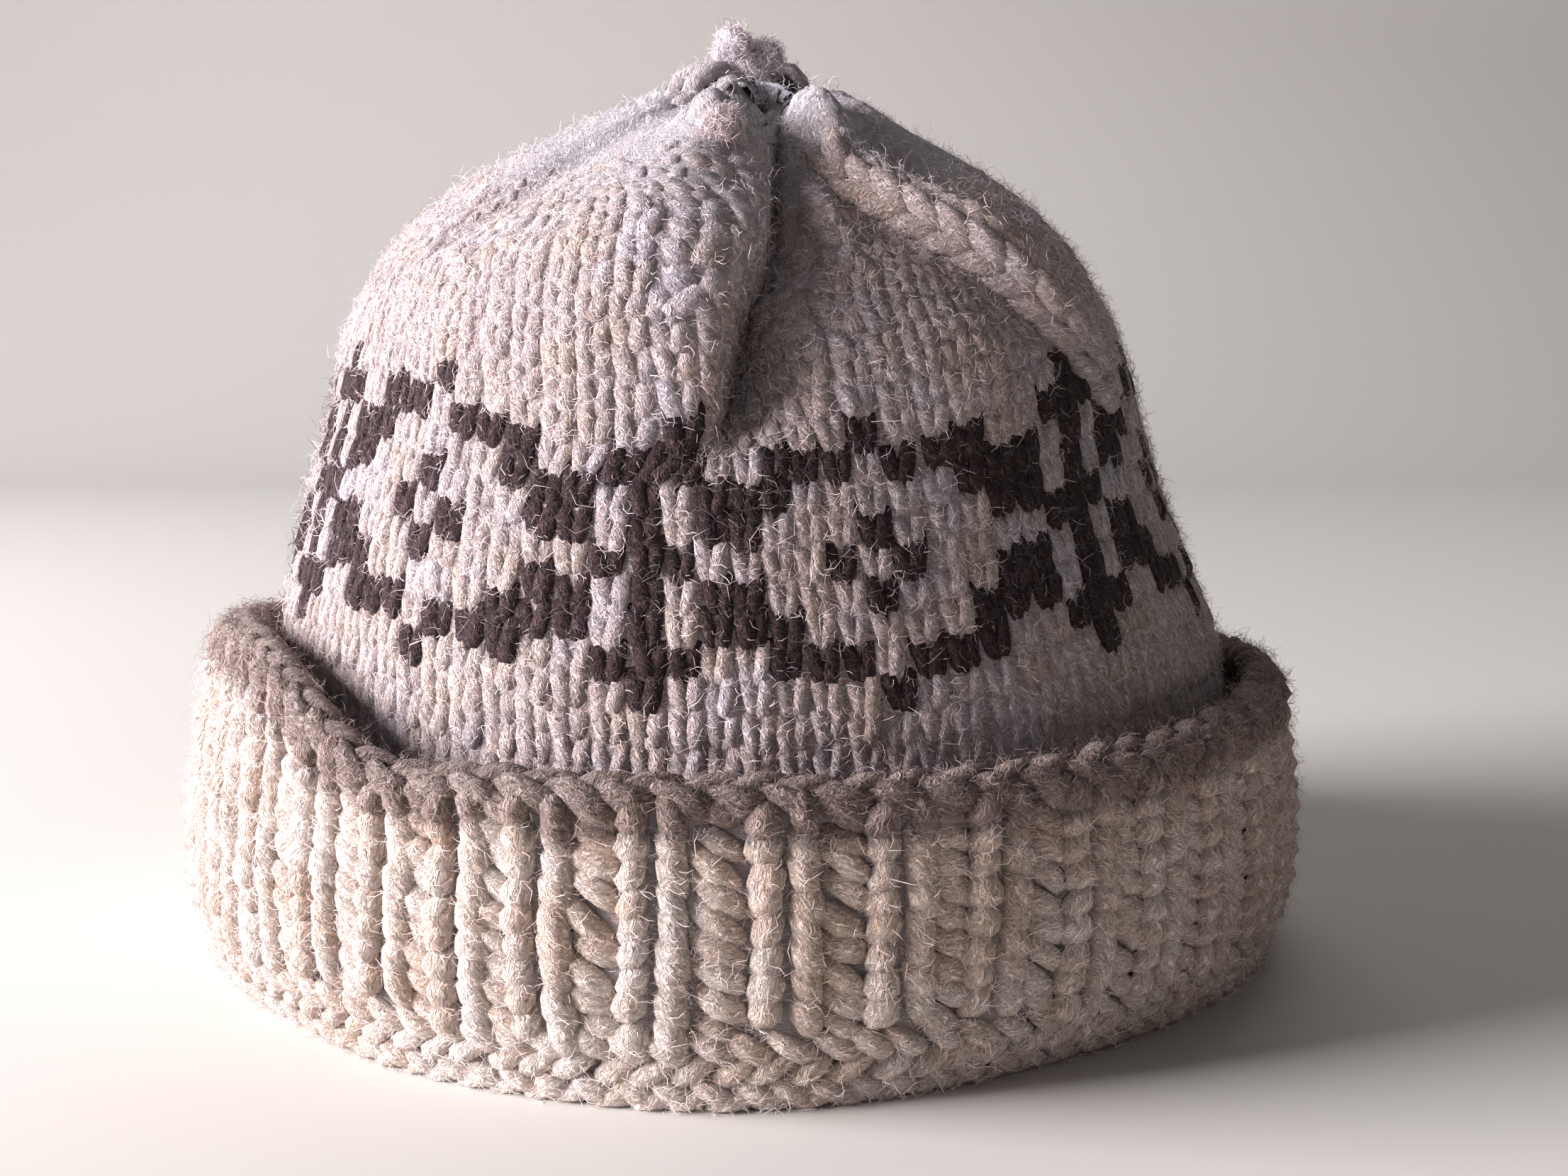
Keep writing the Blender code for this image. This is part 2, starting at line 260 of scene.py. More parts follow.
cuffForm = {
    "radius": 112.0,
    "foldRadius": 108,
    "wall": 7.0,
    "edgeHeight": 8.5,
    "ribs": 40,
    "crowding": 3.3,             # degrees that the ribs are drawn together, at this angle
    "crowdedAt": -13,
    "crowdedWidth": 13,
    "angle": [-180, -150, -120, -95, -75, -58, -46, -34, -20, 0, 15, 32, 48, 65, 80, 100, 130, 180],
    "rim": [57, 58.5, 62.5, 65, 68, 68.5, 63, 54, 54.2, 54, 53.6, 54.3, 55.5, 57, 58, 56.5, 55.5, 57],
    "lean": [-1, -2, -4, -5.5, -6, -5, -2.5, 0.5, 1, 0.5, 0.5, 0.5, 0, -1, -2, -2, -1, -1],
    "floor": [105, 105.5, 106.5, 107.5, 106.5, 102.5, 101.5, 104.5, 106, 108.2, 104.2, 99.8, 100.2, 103.5,
              106.5, 107, 105.5, 105],
}


def cuffAt(name, angle):
    return curveThrough(cuffForm[name], cuffForm["angle"], angleBetween(angle, 0))


def ribTurn(angle):
    # where an angle falls among even ribs, a valley at every whole rib
    offset = angleBetween(angle, cuffForm["crowdedAt"]) / cuffForm["crowdedWidth"]
    return angle + cuffForm["crowding"] * bell(offset) - 0.5


def ribAngle(number):
    # the angle of a place counted in ribs
    angles = np.linspace(-200, 200, 4001)
    return np.interp(number * 360 / cuffForm["ribs"], ribTurn(angles), angles)


def ribRelief(angle):
    return 0.5 - 0.5 * np.cos(np.radians(ribTurn(angle) * cuffForm["ribs"]))


def cuffOuter(angle, height, relief):
    # radius of the cuff's outer face at this height
    rim, lean, floor = (cuffAt(name, angle) for name in ("rim", "lean", "floor"))
    outer = cuffForm["radius"]
    toe = outer - floor
    heights = together(-1, 4.5, 14, 31, rim - cuffForm["edgeHeight"], rim - 3, rim + 1)
    radii = together(
        floor + 1.2, outer - 0.5 * toe, outer - 0.12 * toe, outer + 0.1 * lean,
        outer + 0.6 * lean - 1.2, outer + 0.9 * lean - 0.9, outer + lean - 3.4)
    return curveThrough(radii, heights, height) + relief


def ringPoint(radius, angle, height):
    turn = np.radians(angle)
    return together(radius * np.sin(turn), -radius * np.cos(turn), height) * mm


def cuffPoint(angle, height, inset=0.0, relief=0.0):
    angle, height, relief = np.broadcast_arrays(angle * 1.0, height * 1.0, relief * 1.0)
    return ringPoint(cuffOuter(angle, height, relief) - inset, angle, height)


def cuffNormal(angle, height):
    return normalOn(cuffPoint, angle, height, 0.6)


# Strands: half-round ropes laid on a surface, many in one mesh

strandLook = {
    "lumps": ((0.0034, 61, 0.6), (0.0014, 62, 0.6)),
    "hairyReach": 0.9,                     # hairs grow this far round from the top, radians
    "shadedEnds": 0.8,
    "shadedSides": 0.6,
    "shadeCast": (0.62, 0.74, 0.80),        # the part of each colour that the painted shade in the depths takes away
}


def gridFaces(count, rings, across):
    index = np.arange(count * rings * across).reshape(count, rings, across)
    low, high = index[:, :-1], index[:, 1:]
    return np.stack([low[..., :-1], low[..., 1:], high[..., 1:], high[..., :-1]], -1).reshape(-1, 4)


def bakeCells(count, along, across):
    # each strand has a square of its own in the bake's map, its points at these places in it
    grid = math.ceil(math.sqrt(count))
    cell = np.arange(count)[:, None, None]
    return together(cell % grid + along[:, None], cell // grid + across).reshape(-1, 2) / grid


def sweepStrands(paths, normals, halfWidths, heights, across=5, reach=110, lumps=0.34):
    # reach is how far round from the top a strand's side goes, degrees
    count, rings = paths.shape[:2]
    along = unit(np.gradient(paths, axis=1))
    side = unit(np.cross(along, normals))
    up = unit(np.cross(side, along))
    turn = np.radians(np.linspace(-reach, reach, across))
    corners = (
        paths[:, :, None]
        + side[:, :, None] * (halfWidths[..., None] * np.sin(turn))[..., None] * mm
        + up[:, :, None] * (heights[..., None] * np.cos(turn))[..., None] * mm
    )
    swell = layeredNoise(corners, *strandLook["lumps"])
    corners = corners + unit(corners - paths[:, :, None]) * (swell * lumps * mm)[..., None]
    steps = np.linalg.norm(np.diff(paths, axis=1), axis=-1) / mm
    length = np.concatenate([np.zeros((count, 1)), np.cumsum(steps, axis=1)], axis=1)
    length = (length + vary(0, 40, count))[..., None]
    inner = (np.arange(rings) % (rings - 1) > 0)[:, None]
    # painted shade: each strand darkens towards its ends and its sides, where it dips under its neighbours
    unshaded = 1 - strandLook["shadedEnds"] * np.abs(np.linspace(-1, 1, rings)[:, None]) ** 3
    unshaded = unshaded * (1 - strandLook["shadedSides"] * (turn / turn[-1]) ** 2)
    return {
        "points": corners.reshape(-1, 3),
        "faces": gridFaces(count, rings, across),
        "yarn": together(length, halfWidths[..., None] * turn + vary(0, 40, count)[..., None]).reshape(-1, 2),
        "OFBake": bakeCells(count, np.linspace(0.08, 0.92, rings), np.linspace(0.08, 0.92, across)),
        "top": np.tile((inner & (np.abs(turn) < strandLook["hairyReach"])).ravel(), count),
        "out": np.broadcast_to(up[:, :, None], corners.shape).reshape(-1, 3),
        "paintedShade": np.tile((1 - unshaded).ravel(), count),
    }


def spread(part, values):
    # values of each strand, or of each place along the strands, given to all the points there
    return np.repeat(np.ravel(values), len(part["points"]) // np.size(values))[:, None]


def dressStrands(part, tint, paintedShade=0.6, paint=0):
    # painted shade: the colour darkens where a strand dips under its neighbours; paint is the number of the
    # material
    part["tint"] = tint * (1 - paintedShade * part["paintedShade"][:, None] * np.array(strandLook["shadeCast"]))
    part["paint"] = np.zeros(len(part["points"]), int) + paint
    return part


def joinParts(parts):
    # parts become one, each with its own band of the bake's map
    start = 0
    for i, part in enumerate(parts):
        part["faces"] = part["faces"] + start
        start += len(part["points"])
        part["OFBake"] = (part["OFBake"] + [0, i]) / [1, len(parts)]
    names = ("points", "faces", "yarn", "OFBake", "tint", "out", "paint", "top")
    return {name: np.concatenate([part[name] for part in parts]) for name in names}


def finishPiece(made, tint, materials, nodes):
    mesh = made.data
    layer = mesh.attributes.new("tint", "FLOAT_COLOR", "POINT")
    colours = np.concatenate([tint, np.ones((len(tint), 1))], 1)
    layer.data.foreach_set("color", colours.astype(np.float32).ravel())
    for material in materials:
        mesh.materials.append(material)
    mesh.shade_smooth()
    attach(made, "root")
    if nodes:
        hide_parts(*nodes)
    print(f"{made.name}: {len(mesh.loops) - 2 * len(mesh.polygons)} triangles")


def makePiece(name, part, materials, nodes=()):
    mesh = bpy.data.meshes.new(name)
    points, faces = part["points"], part["faces"]
    mesh.vertices.add(len(points))
    mesh.vertices.foreach_set("co", points.astype(np.float32).ravel())
    mesh.loops.add(faces.size)
    mesh.loops.foreach_set("vertex_index", faces.astype(np.int32).ravel())
    mesh.polygons.add(len(faces))
    mesh.polygons.foreach_set("loop_start", np.arange(0, faces.size, 4, np.int32))
    mesh.polygons.foreach_set("material_index", part["paint"][faces[:, 0]].astype(np.int32))
    for uvName in ("yarn", "OFBake"):
        layer = mesh.uv_layers.new(name=uvName, do_init=False)
        layer.uv.foreach_set("vector", part[uvName][faces.ravel()].astype(np.float32).ravel())
    mesh.update(calc_edges=True)
    made = bpy.data.objects.new(name, mesh)
    bpy.context.scene.collection.objects.link(made)
    finishPiece(made, part["tint"], materials, nodes)


hairRoots = {}       # of each piece: places, directions, colours and material numbers


def knitPiece(name, parts, materials, node):
    # many strands as one piece, whose upper sides get hairs later
    part = joinParts(parts)
    makePiece(name, part, materials, [node])
    hairRoots[name] = [part[kind][part["top"]] for kind in ("points", "out", "tint", "paint")]


# Wool colours

woolColours = {
    "white": (0.80, 0.69, 0.715),
    "warmWhite": (0.87, 0.735, 0.645),
    "cream": (0.72, 0.51, 0.38),
    "tan": (0.60, 0.375, 0.215),
    # painted shade, for the gaps between the strands
    "gapShade": (0.20, 0.13, 0.115),
    "brown": (0.030, 0.015, 0.016),
    "brownGrey": (0.070, 0.040, 0.043),
    "heather": (0.20, 0.13, 0.10),
    "heatherPale": (0.42, 0.32, 0.28),
    "cool": (0.70, 0.72, 0.82),
    "dull": (0.36, 0.29, 0.30),
    "mauve": (0.50, 0.37, 0.40),
    "peach": (0.80, 0.56, 0.40),
    "paleTop": (0.78, 0.745, 0.83),
    "paleYarn": (0.66, 0.69, 0.78),
    "stainAndShade": (0.34, 0.26, 0.27),
    "crownCast": (0.88, 0.885, 0.99),     # the crown is cooler than the cuff
}
woolColours = {name: np.array(colour) for name, colour in woolColours.items()}


def creamTint(points, seed=0, warm=False):
    # undyed wool in patches and flecks; the cuff's is warm
    white = woolColours["warmWhite" if warm else "white"]
    patch = layeredNoise(points, (0.014, 3 + seed, 0.5), (0.005, 5 + seed, 0.6))
    fleck = softNoise(points, 0.0020, 8 + seed)
    tint = mix(woolColours["cream"], white, smoothStep(-0.25, 0.65, patch + 0.35 * fleck)[..., None])
    tint = mix(tint, woolColours["tan"], smoothStep(0.0, 0.8, -patch - 0.4 * fleck)[..., None])
    tint = mix(tint, white, 0.15)
    if warm:
        return tint
    mauve = smoothStep(0.0, 0.7, softNoise(points, 0.016, 91) + 0.3 * fleck)[..., None]
    return mix(tint * woolColours["crownCast"], woolColours["mauve"], 0.42 * mauve)


def fleckedTint(points, dark, pale, low, *layers):
    share = smoothStep(low, 0.8, layeredNoise(points, *layers))
    return mix(woolColours[dark], woolColours[pale], share[..., None])


def brownTint(points):
    return fleckedTint(points, "brown", "brownGrey", -0.1, (0.004, 11, 0.5), (0.0015, 12, 0.5))


def heatherTint(points):
    return fleckedTint(points, "heather", "heatherPale", -0.3, (0.006, 21, 0.5), (0.0015, 22, 0.5))


# painted shade: the wool's colour darkened, for the shells that show between the strands
def shadedGapTint(points):
    return mix(creamTint(points), woolColours["gapShade"], 0.55)


def shadedCrownGapTint(points):
    # painted shade of the gaps between the stitches, paler towards the top
    return mix(shadedGapTint(points), woolColours["paleTop"], 0.8 * smoothStep(0.140, 0.158, points[:, 2:]))


# Materials

fibreLook = {
    "twist": 0.45,               # slant of the fibres to the yarn
    "waves": 2.4,
    "streaks": 1.5,
    # each layer's direction in degrees, its fineness and its place in the noise
    "layers": ((4, 2.2, 0.0), (-38, 2.7, 31.0), (52, 3.1, 67.0), (88, 3.6, 93.0)),
    "bumpDepth": 0.0011,
}


def woolGroup():
    # fine wavy fibres along a yarn and across it, as colour and height
    group = bpy.data.node_groups.new("woolFibres", "ShaderNodeTree")
    sockets = (("Base", "INPUT", "Color"), ("Hair Color", "INPUT", "Color"), ("Hairs", "INPUT", "Float"),
               ("Pit Shade", "INPUT", "Float"), ("Color", "OUTPUT", "Color"), ("Height", "OUTPUT", "Float"))
    for name, way, kind in sockets:
        group.interface.new_socket(name, in_out=way, socket_type="NodeSocket" + kind)
    nodes, links = group.nodes, group.links
    given, result = nodes.new("NodeGroupInput").outputs, nodes.new("NodeGroupOutput").inputs

    def add(kind, inputs, **settings):
        # a new node, each of its inputs linked to an output or set to a value
        node = nodes.new("ShaderNode" + kind)
        for name, value in settings.items():
            setattr(node, name, value)
        for name, value in inputs.items():
            if isinstance(value, bpy.types.NodeSocket):
                links.new(value, node.inputs[name])
            else:
                node.inputs[name].default_value = value
        return node.outputs

    def number(operation, *values, clamp=False):
        return add("Math", dict(enumerate(values)), operation=operation, use_clamp=clamp)[0]

    def vector(operation, *values):
        return add("VectorMath", dict(enumerate(values)), operation=operation)[0]

    def noise(place, scale, detail):
        return add("TexNoise", {"Vector": place, "Scale": scale, "Detail": detail, "Roughness": 0.6})

    # the yarn's twist slants the fibres, and a soft noise makes them wavy
    uv = add("UVMap", {}, uv_map="yarn")["UV"]
    apart = add("SeparateXYZ", {0: uv})
    slanted = number("MULTIPLY_ADD", apart["X"], fibreLook["twist"], apart["Y"])
    place = add("CombineXYZ", {0: apart["X"], 1: slanted})[0]
    wander = vector("SUBTRACT", noise(uv, 0.55, 1.0)["Color"], (0.5, 0.5, 0.5))
    wavy = vector("MULTIPLY_ADD", wander, (fibreLook["waves"], fibreLook["waves"], 0.0), place)
    layers = []
    for turn, fine, seed in fibreLook["layers"]:
        turned = add("VectorRotate", {"Vector": wavy, "Angle": math.radians(turn)}, rotation_type="Z_AXIS")[0]
        stretched = vector("MULTIPLY_ADD", turned, (0.55, fine, 1.0), (seed, seed, seed))
        layers.append(noise(stretched, 1.0, 1.5)["Fac"])
    lines = [number("MULTIPLY", number("SUBTRACT", layer, 0.53), 9.0, clamp=True) for layer in layers]
    hair = number("MAXIMUM", number("MAXIMUM", lines[0], lines[1]), number("MAXIMUM", lines[2], lines[3]))
    crossed = number("ADD", layers[0], layers[2])
    # painted shade: pits are the hollows of the relief, where the colour is darkened
    pits = number("MULTIPLY", number("SUBTRACT", 0.50, number("MULTIPLY", crossed, 0.5)), 7.0, clamp=True)

    # colour: streaks darken the base and painted shade darkens it in the pits, the hollows of the relief;
    # hairs lie over it
    bright = number("MULTIPLY_ADD", number("SUBTRACT", layers[0], 0.5), fibreLook["streaks"], 1.0)
    shade = number("SUBTRACT", 1.0, number("MULTIPLY", pits, given["Pit Shade"]))
    amount = number("MULTIPLY", bright, shade)
    base = add("VectorMath", {0: given["Base"], "Scale": amount}, operation="SCALE")
    cover = number("MULTIPLY", hair, given["Hairs"], clamp=True)
    over = add("Mix", {"Factor": cover, "A": base[0], "B": given["Hair Color"]}, data_type="RGBA")
    links.new(over["Result"], result["Color"])
    links.new(number("MULTIPLY_ADD", hair, 0.5, number("MULTIPLY", crossed, 0.6)), result["Height"])
    return group


def newMaterial(name, values):
    # a material whose shader has these values; also its nodes and the shader's sockets
    material = bpy.data.materials.new(name)
    material.use_nodes = True
    shader = material.node_tree.nodes["Principled BSDF"].inputs
    for socket, value in values.items():
        shader[socket].default_value = value
    return material, material.node_tree, shader


def tintNode(tree):
    node = tree.nodes.new("ShaderNodeAttribute")
    node.attribute_name = "tint"
    return node.outputs["Color"]


def woolMaterial(name, hairColour, hairs=0.5, pitShade=0.45, bump=0.8, sheen=0.4):
    material, tree, shader = newMaterial(name, {
        "Roughness": 0.95,
        "Specular IOR Level": 0.2,
        "Sheen Weight": sheen,
        "Sheen Roughness": 0.5,
        "Sheen Tint": (0.95, 0.92, 0.90, 1),
    })
    fibres = tree.nodes.new("ShaderNodeGroup")
    fibres.node_tree = fibreGroup
    for socket, value in (("Hairs", hairs), ("Pit Shade", pitShade), ("Hair Color", (*hairColour, 1))):
        fibres.inputs[socket].default_value = value
    relief = tree.nodes.new("ShaderNodeBump")
    relief.inputs["Strength"].default_value = bump
    relief.inputs["Distance"].default_value = fibreLook["bumpDepth"]
    tree.links.new(tintNode(tree), fibres.inputs["Base"])
    tree.links.new(fibres.outputs["Color"], shader["Base Color"])
    tree.links.new(fibres.outputs["Height"], relief.inputs["Height"])
    tree.links.new(relief.outputs["Normal"], shader["Normal"])
    return material


def fuzzMaterial(name):
    material, tree, shader = newMaterial(
        name, {"Roughness": 0.7, "Specular IOR Level": 0.3, "Sheen Weight": 0.3})
    tree.links.new(tintNode(tree), shader["Base Color"])
    return material


fibreGroup = woolGroup()
creamWool = woolMaterial("creamWool", (0.90, 0.81, 0.80), hairs=0.45, pitShade=0.55, bump=0.9, sheen=0.7)
crownWool = woolMaterial("crownWool", (0.80, 0.71, 0.745), pitShade=0.6, bump=0.9, sheen=0.6)
brownWool = woolMaterial("brownWool", (0.14, 0.088, 0.092), pitShade=0.7, sheen=0.04)
heatherWool = woolMaterial("heatherWool", (0.50, 0.40, 0.39), hairs=0.55, pitShade=0.75, sheen=0.2)
paleYarn = woolMaterial("paleYarn", (0.85, 0.85, 0.88), hairs=0.3)
woolHair = fuzzMaterial("woolHair")
print("materials made")


# Crown stitches: rows and columns laid over the folded crown

crownKnit = {
    "columns": 98,
    "rowPitch": 0.0267,          # share of the way up
    "bandRow": 10,               # first row of the dark band
    "bandShare": 0.253,
    "firstRow": 3,
    "lastRow": 38,
    "plainRows": 3,              # rows above the band before the first decrease
    "stitchWidth": 5.9,          # below this the columns are decreased
    "widestStitch": 2.6,         # of two that are knitted together
    "fewestColumns": 14,
    "riseShares": [0, 0.2, 0.253, 0.467, 0.75, 1],
    "rise": [0, 0.034, 0.040, 0.0625, 0.02, 0],     # of the rows, from the front to the sides
    "pathShares": [0.245, 0.36, 0.470, 0.505, 0.58, 0.63, 0.68, 0.75, 0.85, 1.0],
    "paths": {                   # the angle of some columns at these shares
        -7: [-38.0, -38.3, -38.8, -39.4, -40.6, -41.5, -42.6, -45.0, -49.0, -54.0],
        0: [-9.4, -8.5, -9.0, -9.4, -9.3, -9.0, -9.2, -10.5, -14.0, -20.0],
        7: [15.8, 16.4, 16.6, 16.8, 17.2, 17.5, 18.2, 20.2, 22.5, 26.0],
        9: [23.6, 25.0, 26.6, 27.0, 26.8, 26.9, 28.0, 30.6, 33.0, 38.0],
        15: [48.6, 51.0, 55.5, 56.5, 54.5, 52.0, 50.0, 48.0, 48.0, 56.0],
    },
    "fine": 10,                  # places worked out in each column
    "depth": 1.5,                # the strands' underside, below the CAD's outer face
}

# the dark band's chart, its top row first
bandChart = [
    "#......#......",
    "##..###.###..#",
    "#.###.....###.",
    "#.##...#...##.",
    "##....#.#....#",
    "#.##...#...##.",
    "#.###.....###.",
    "##..###.###..#",
    "#......#......",
][::-1]


def plainShare(row):
    return crownKnit["bandShare"] + (row - crownKnit["bandRow"]) * crownKnit["rowPitch"]


def rowShare(row, angle):
    side = smoothStep(13, 55, np.abs(angleBetween(angle, 3)))
    rise = np.interp(plainShare(row), crownKnit["riseShares"], crownKnit["rise"])
    return np.clip(plainShare(row) + side * rise, 0, 0.998)


def thrice(values, period):
    # once more on both sides, for what closes round the hat
    return np.concatenate([values - period, values, values + period])


def columnTable():
    # the angles of the columns in each row, and each row's length round the hat
    count = crownKnit["columns"]
    angles = np.linspace(-180, 180, 1441)
    wanted = np.linspace(-count / 2, count / 2, count * crownKnit["fine"] + 1)
    known = np.array(list(crownKnit["paths"]))
    window = np.hanning(31) / np.hanning(31).sum()
    table, girths = [], []
    for row in range(-1, crownKnit["lastRow"] + 4):
        arc = reachAlong(crownPoint(angles, rowShare(row, angles)) / mm)
        level = np.clip(plainShare(row), crownKnit["pathShares"][0], 1)
        marks = [curveThrough(path, crownKnit["pathShares"], level) for path in crownKnit["paths"].values()]
        middle = marks[list(known).index(0)]
        even = (arc - np.interp(middle, angles, arc)) / arc[-1] * count
        column = np.interp(even, thrice(np.interp(marks, angles, even), count), thrice(known, count))
        found = np.interp(wanted, thrice(column[:-1], count), thrice(angles[:-1], 360))
        lean = found - wanted * 360 / count
        smooth = np.convolve(thrice(lean[:-1], 0), window, "same")[len(lean) - 1:][: len(lean)]
        table.append(smooth + wanted * 360 / count)
        girths.append(arc[-1])
    table = np.array(table)
    for _ in range(2):                                     # columns bend softly from row to row
        padded = np.concatenate([table[:1], table, table[-1:]])
        table = (padded[:-2] + padded[1:-1] * 2 + padded[2:]) / 4
    return table, np.array(girths)


columnAngles, rowGirths = columnTable()


def onCrown(row, column):
    # angle and share of a place in the knitting
    count = crownKnit["columns"]
    place = (column + count / 2) % count * crownKnit["fine"]
    level = np.clip(row + 1, 0, len(columnAngles) - 1.001)
    i, j = place.astype(int), level.astype(int)
    low, high = (mix(columnAngles[k, i], columnAngles[k, i + 1], place - i) for k in (j, j + 1))
    angle = mix(low, high, level - j)
    return angle, rowShare(row, angle)


def layOut(widths):
    # middles and widths of a row's stitches, in columns, when they fill the whole round
    count, total = crownKnit["columns"], widths.sum()
    return (np.cumsum(widths) - widths / 2) / total * count - count / 2 - 0.5, widths / total * count


def crownRows():
    # each row's stitches: their middles and widths, and those of the stitches that they run into
    widths = np.ones(crownKnit["columns"])
    rows = []
    for row in range(crownKnit["firstRow"], crownKnit["lastRow"] + 1):
        goal = count = len(widths)
        if row >= crownKnit["bandRow"] + len(bandChart) + crownKnit["plainRows"]:
            fitting = rowGirths[row + 2] / crownKnit["stitchWidth"]
            goal = int(np.clip(fitting, crownKnit["fewestColumns"], count))
        merge = min(count - goal, count // 3)
        spots = (np.arange(merge) + draw.uniform(0.2, 0.8, merge)) / max(merge, 1) * (count - 1)
        keep = np.ones(count, bool)
        merged = widths.copy()
        for spot in np.unique(spots.astype(int)):
            if keep[spot] and widths[spot] + widths[spot + 1] < crownKnit["widestStitch"]:
                merged[spot] += merged[spot + 1]
                keep[spot + 1] = False
        nextWidths = 1 + (merged[keep] - 1) * 0.62
        into = np.cumsum(keep) - 1
        centre, span = layOut(widths)
        above, spanAbove = (values[into] for values in layOut(nextWidths))
        rows.append({"row": row, "centre": centre, "span": span, "above": above, "spanAbove": spanAbove})
        widths = nextWidths
    return rows


# A stitch's leg from its foot to where it dips under the next row: how far up in rows, how far
# from the column's middle in stitch widths, lift in millimetres, and fullness.
legShape = shapeOf({
    "up": [-0.60, -0.50, -0.24, 0.24, 0.74, 1.10],
    "out": [0.105, 0.115, 0.160, 0.265, 0.335, 0.330],
    "lift": [-0.60, 0.05, 0.50, 0.36, -0.10, -0.80],
    "full": [0.45, 0.92, 1.14, 1.12, 1.00, 0.70],
    "halfWidth": 0.292,          # of the stitch's width
    "height": 1.45,
    "darkProud": 0.10,           # the dark yarn stands this much higher
})

# painted shade at the foot of the front fold, where darker wool also shows through
foldStainAndShade = {"angle": 4.0, "wide": 6.0, "share": 0.54, "tall": 0.075}


def crownStitches(rows):
    parts = []
    for info in rows:
        row, count = info["row"], len(info["centre"])
        legs = 2 * count
        centre, above, span, spanAbove = (
            np.tile(info[name], 2)[:, None] for name in ("centre", "above", "span", "spanAbove"))
        side = np.repeat([-1, 1], count)[:, None]
        nudge = np.tile(draw.normal(0, 0.07, (count, 2)), (2, 1))
        size = np.tile(draw.uniform(0.90, 1.12, count), 2)[:, None]
        up = legShape["up"] * mix(1, size, 0.5) + nudge[:, :1] + shake(0.03, legs)
        span = mix(span, spanAbove, np.clip(up, 0, 1))
        column = mix(centre, above, up) + side * legShape["out"] * span
        column = column + nudge[:, 1:] * 0.7 + shake(0.015, legs)
        angle, share = onCrown(row + up, column)
        felt = smoothStep(0.45, 0.90, share)               # the wool is felted and flat near the top
        dark = np.zeros(legs, bool)
        chartRow = row - crownKnit["bandRow"]
        if 0 <= chartRow < len(bandChart):
            marks = np.array(list(bandChart[chartRow])) == "#"
            dark = np.tile(marks[(np.arange(count) - count // 2) % len(marks)], 2)
        proud = legShape["darkProud"] * dark[:, None]
        lift = legShape["lift"] * (1 - 0.5 * felt) + shake(0.12, legs) + proud
        normals = crownNormal(angle, share)
        paths = crownPoint(angle, share, crownKnit["depth"]) + normals * lift[..., None] * mm
        left, right = (crownPoint(*onCrown(row + up, column + half)) for half in (-0.5, 0.5))
        local = np.linalg.norm(right - left, axis=-1) / mm
        girth = np.clip((local + local.mean(axis=1, keepdims=True)) / 2, 2.0, 7.0) * span
        halfWidths = legShape["full"] * girth * legShape["halfWidth"] * size
        halfWidths = halfWidths * vary(0.94, 1.07, legs) * (1 + 0.12 * proud)
        heights = legShape["full"] * legShape["height"] * vary(0.92, 1.1, legs)
        heights = heights * np.clip(girth / 5.5, 0.4, 1) * (1 - 0.38 * felt)
        part = sweepStrands(paths, normals, halfWidths, heights, across=4)
        warm = np.tile(draw.uniform(-0.6, 0.55, count).clip(0, 1), 2)
        tint = mix(creamTint(part["points"]), woolColours["peach"], spread(part, warm))
        brown = spread(part, dark)[:, 0]
        tint[brown] = brownTint(part["points"][brown])
        tint = tint * spread(part, draw.uniform(0.90, 1.08, legs))
        tint = mix(tint, woolColours["paleTop"], 0.75 * spread(part, smoothStep(0.70, 0.90, share)))
        # painted shade and darker wool, at the foot of the front fold
        stainAndShade = bell(angleBetween(angle, foldStainAndShade["angle"]) / foldStainAndShade["wide"],
                     (share - foldStainAndShade["share"]) / foldStainAndShade["tall"])
        tint = mix(tint, tint * woolColours["stainAndShade"], spread(part, stainAndShade))
        parts.append(dressStrands(part, tint, 0.6 - 0.42 * felt.mean(), brown))
    return parts


# Along the crest of the welt one column lies flat, its stitches large and pulled long
weltChain = shapeOf({
    "angle": [61.0, 58.5, 54.0, 50.6, 46.0, 40.6, 34.5, 27.5],
    "share": [0.487, 0.509, 0.555, 0.589, 0.635, 0.691, 0.759, 0.830],
    "stitches": 11,
    "along": [-0.35, -0.2, 0.15, 0.62, 1.12, 1.5],
    "out": [0.12, 0.22, 0.6, 1.0, 1.12, 1.0],
    "lift": [-1.2, 0.0, 0.75, 0.7, 0.0, -1.3],
    "full": [0.4, 0.8, 1.08, 1.12, 0.95, 0.5],
    "apart": 2.2,
    "halfWidth": 2.1,
    "height": 2.1,
    "proud": 1.0,
})


def weltStitches():
    count = weltChain["stitches"]
    fine = np.linspace(0, 1, 200)
    marks = np.linspace(0, 1, len(weltChain["angle"]))
    angle, share = (curveThrough(weltChain[name], marks, fine) for name in ("angle", "share"))
    line = crownPoint(angle, share, crownKnit["depth"])
    reach = reachAlong(line)
    pitch = reach[-1] / count
    side = np.repeat([-1, 1], count)[:, None]
    start = np.tile((np.arange(count) + draw.uniform(-0.12, 0.12, count)) * pitch, 2)[:, None]
    along = start + weltChain["along"] * pitch
    out = side * weltChain["out"] * weltChain["apart"] + shake(0.12, 2 * count)
    lift = weltChain["lift"] + weltChain["proud"] + shake(0.1, 2 * count)

    def read(values):
        return together(*(np.interp(along, reach, column) for column in values.T))

    place, up = read(line), unit(read(crownNormal(angle, share)))
    sideways = unit(np.cross(np.gradient(place, axis=1), up))
    paths = place + sideways * out[..., None] * mm + up * lift[..., None] * mm
    full = weltChain["full"] * vary(0.92, 1.1, 2 * count)
    part = sweepStrands(paths, up, full * weltChain["halfWidth"], full * weltChain["height"], across=6)
    return dressStrands(part, mix(creamTint(part["points"], 12), woolColours["tan"], 0.35))


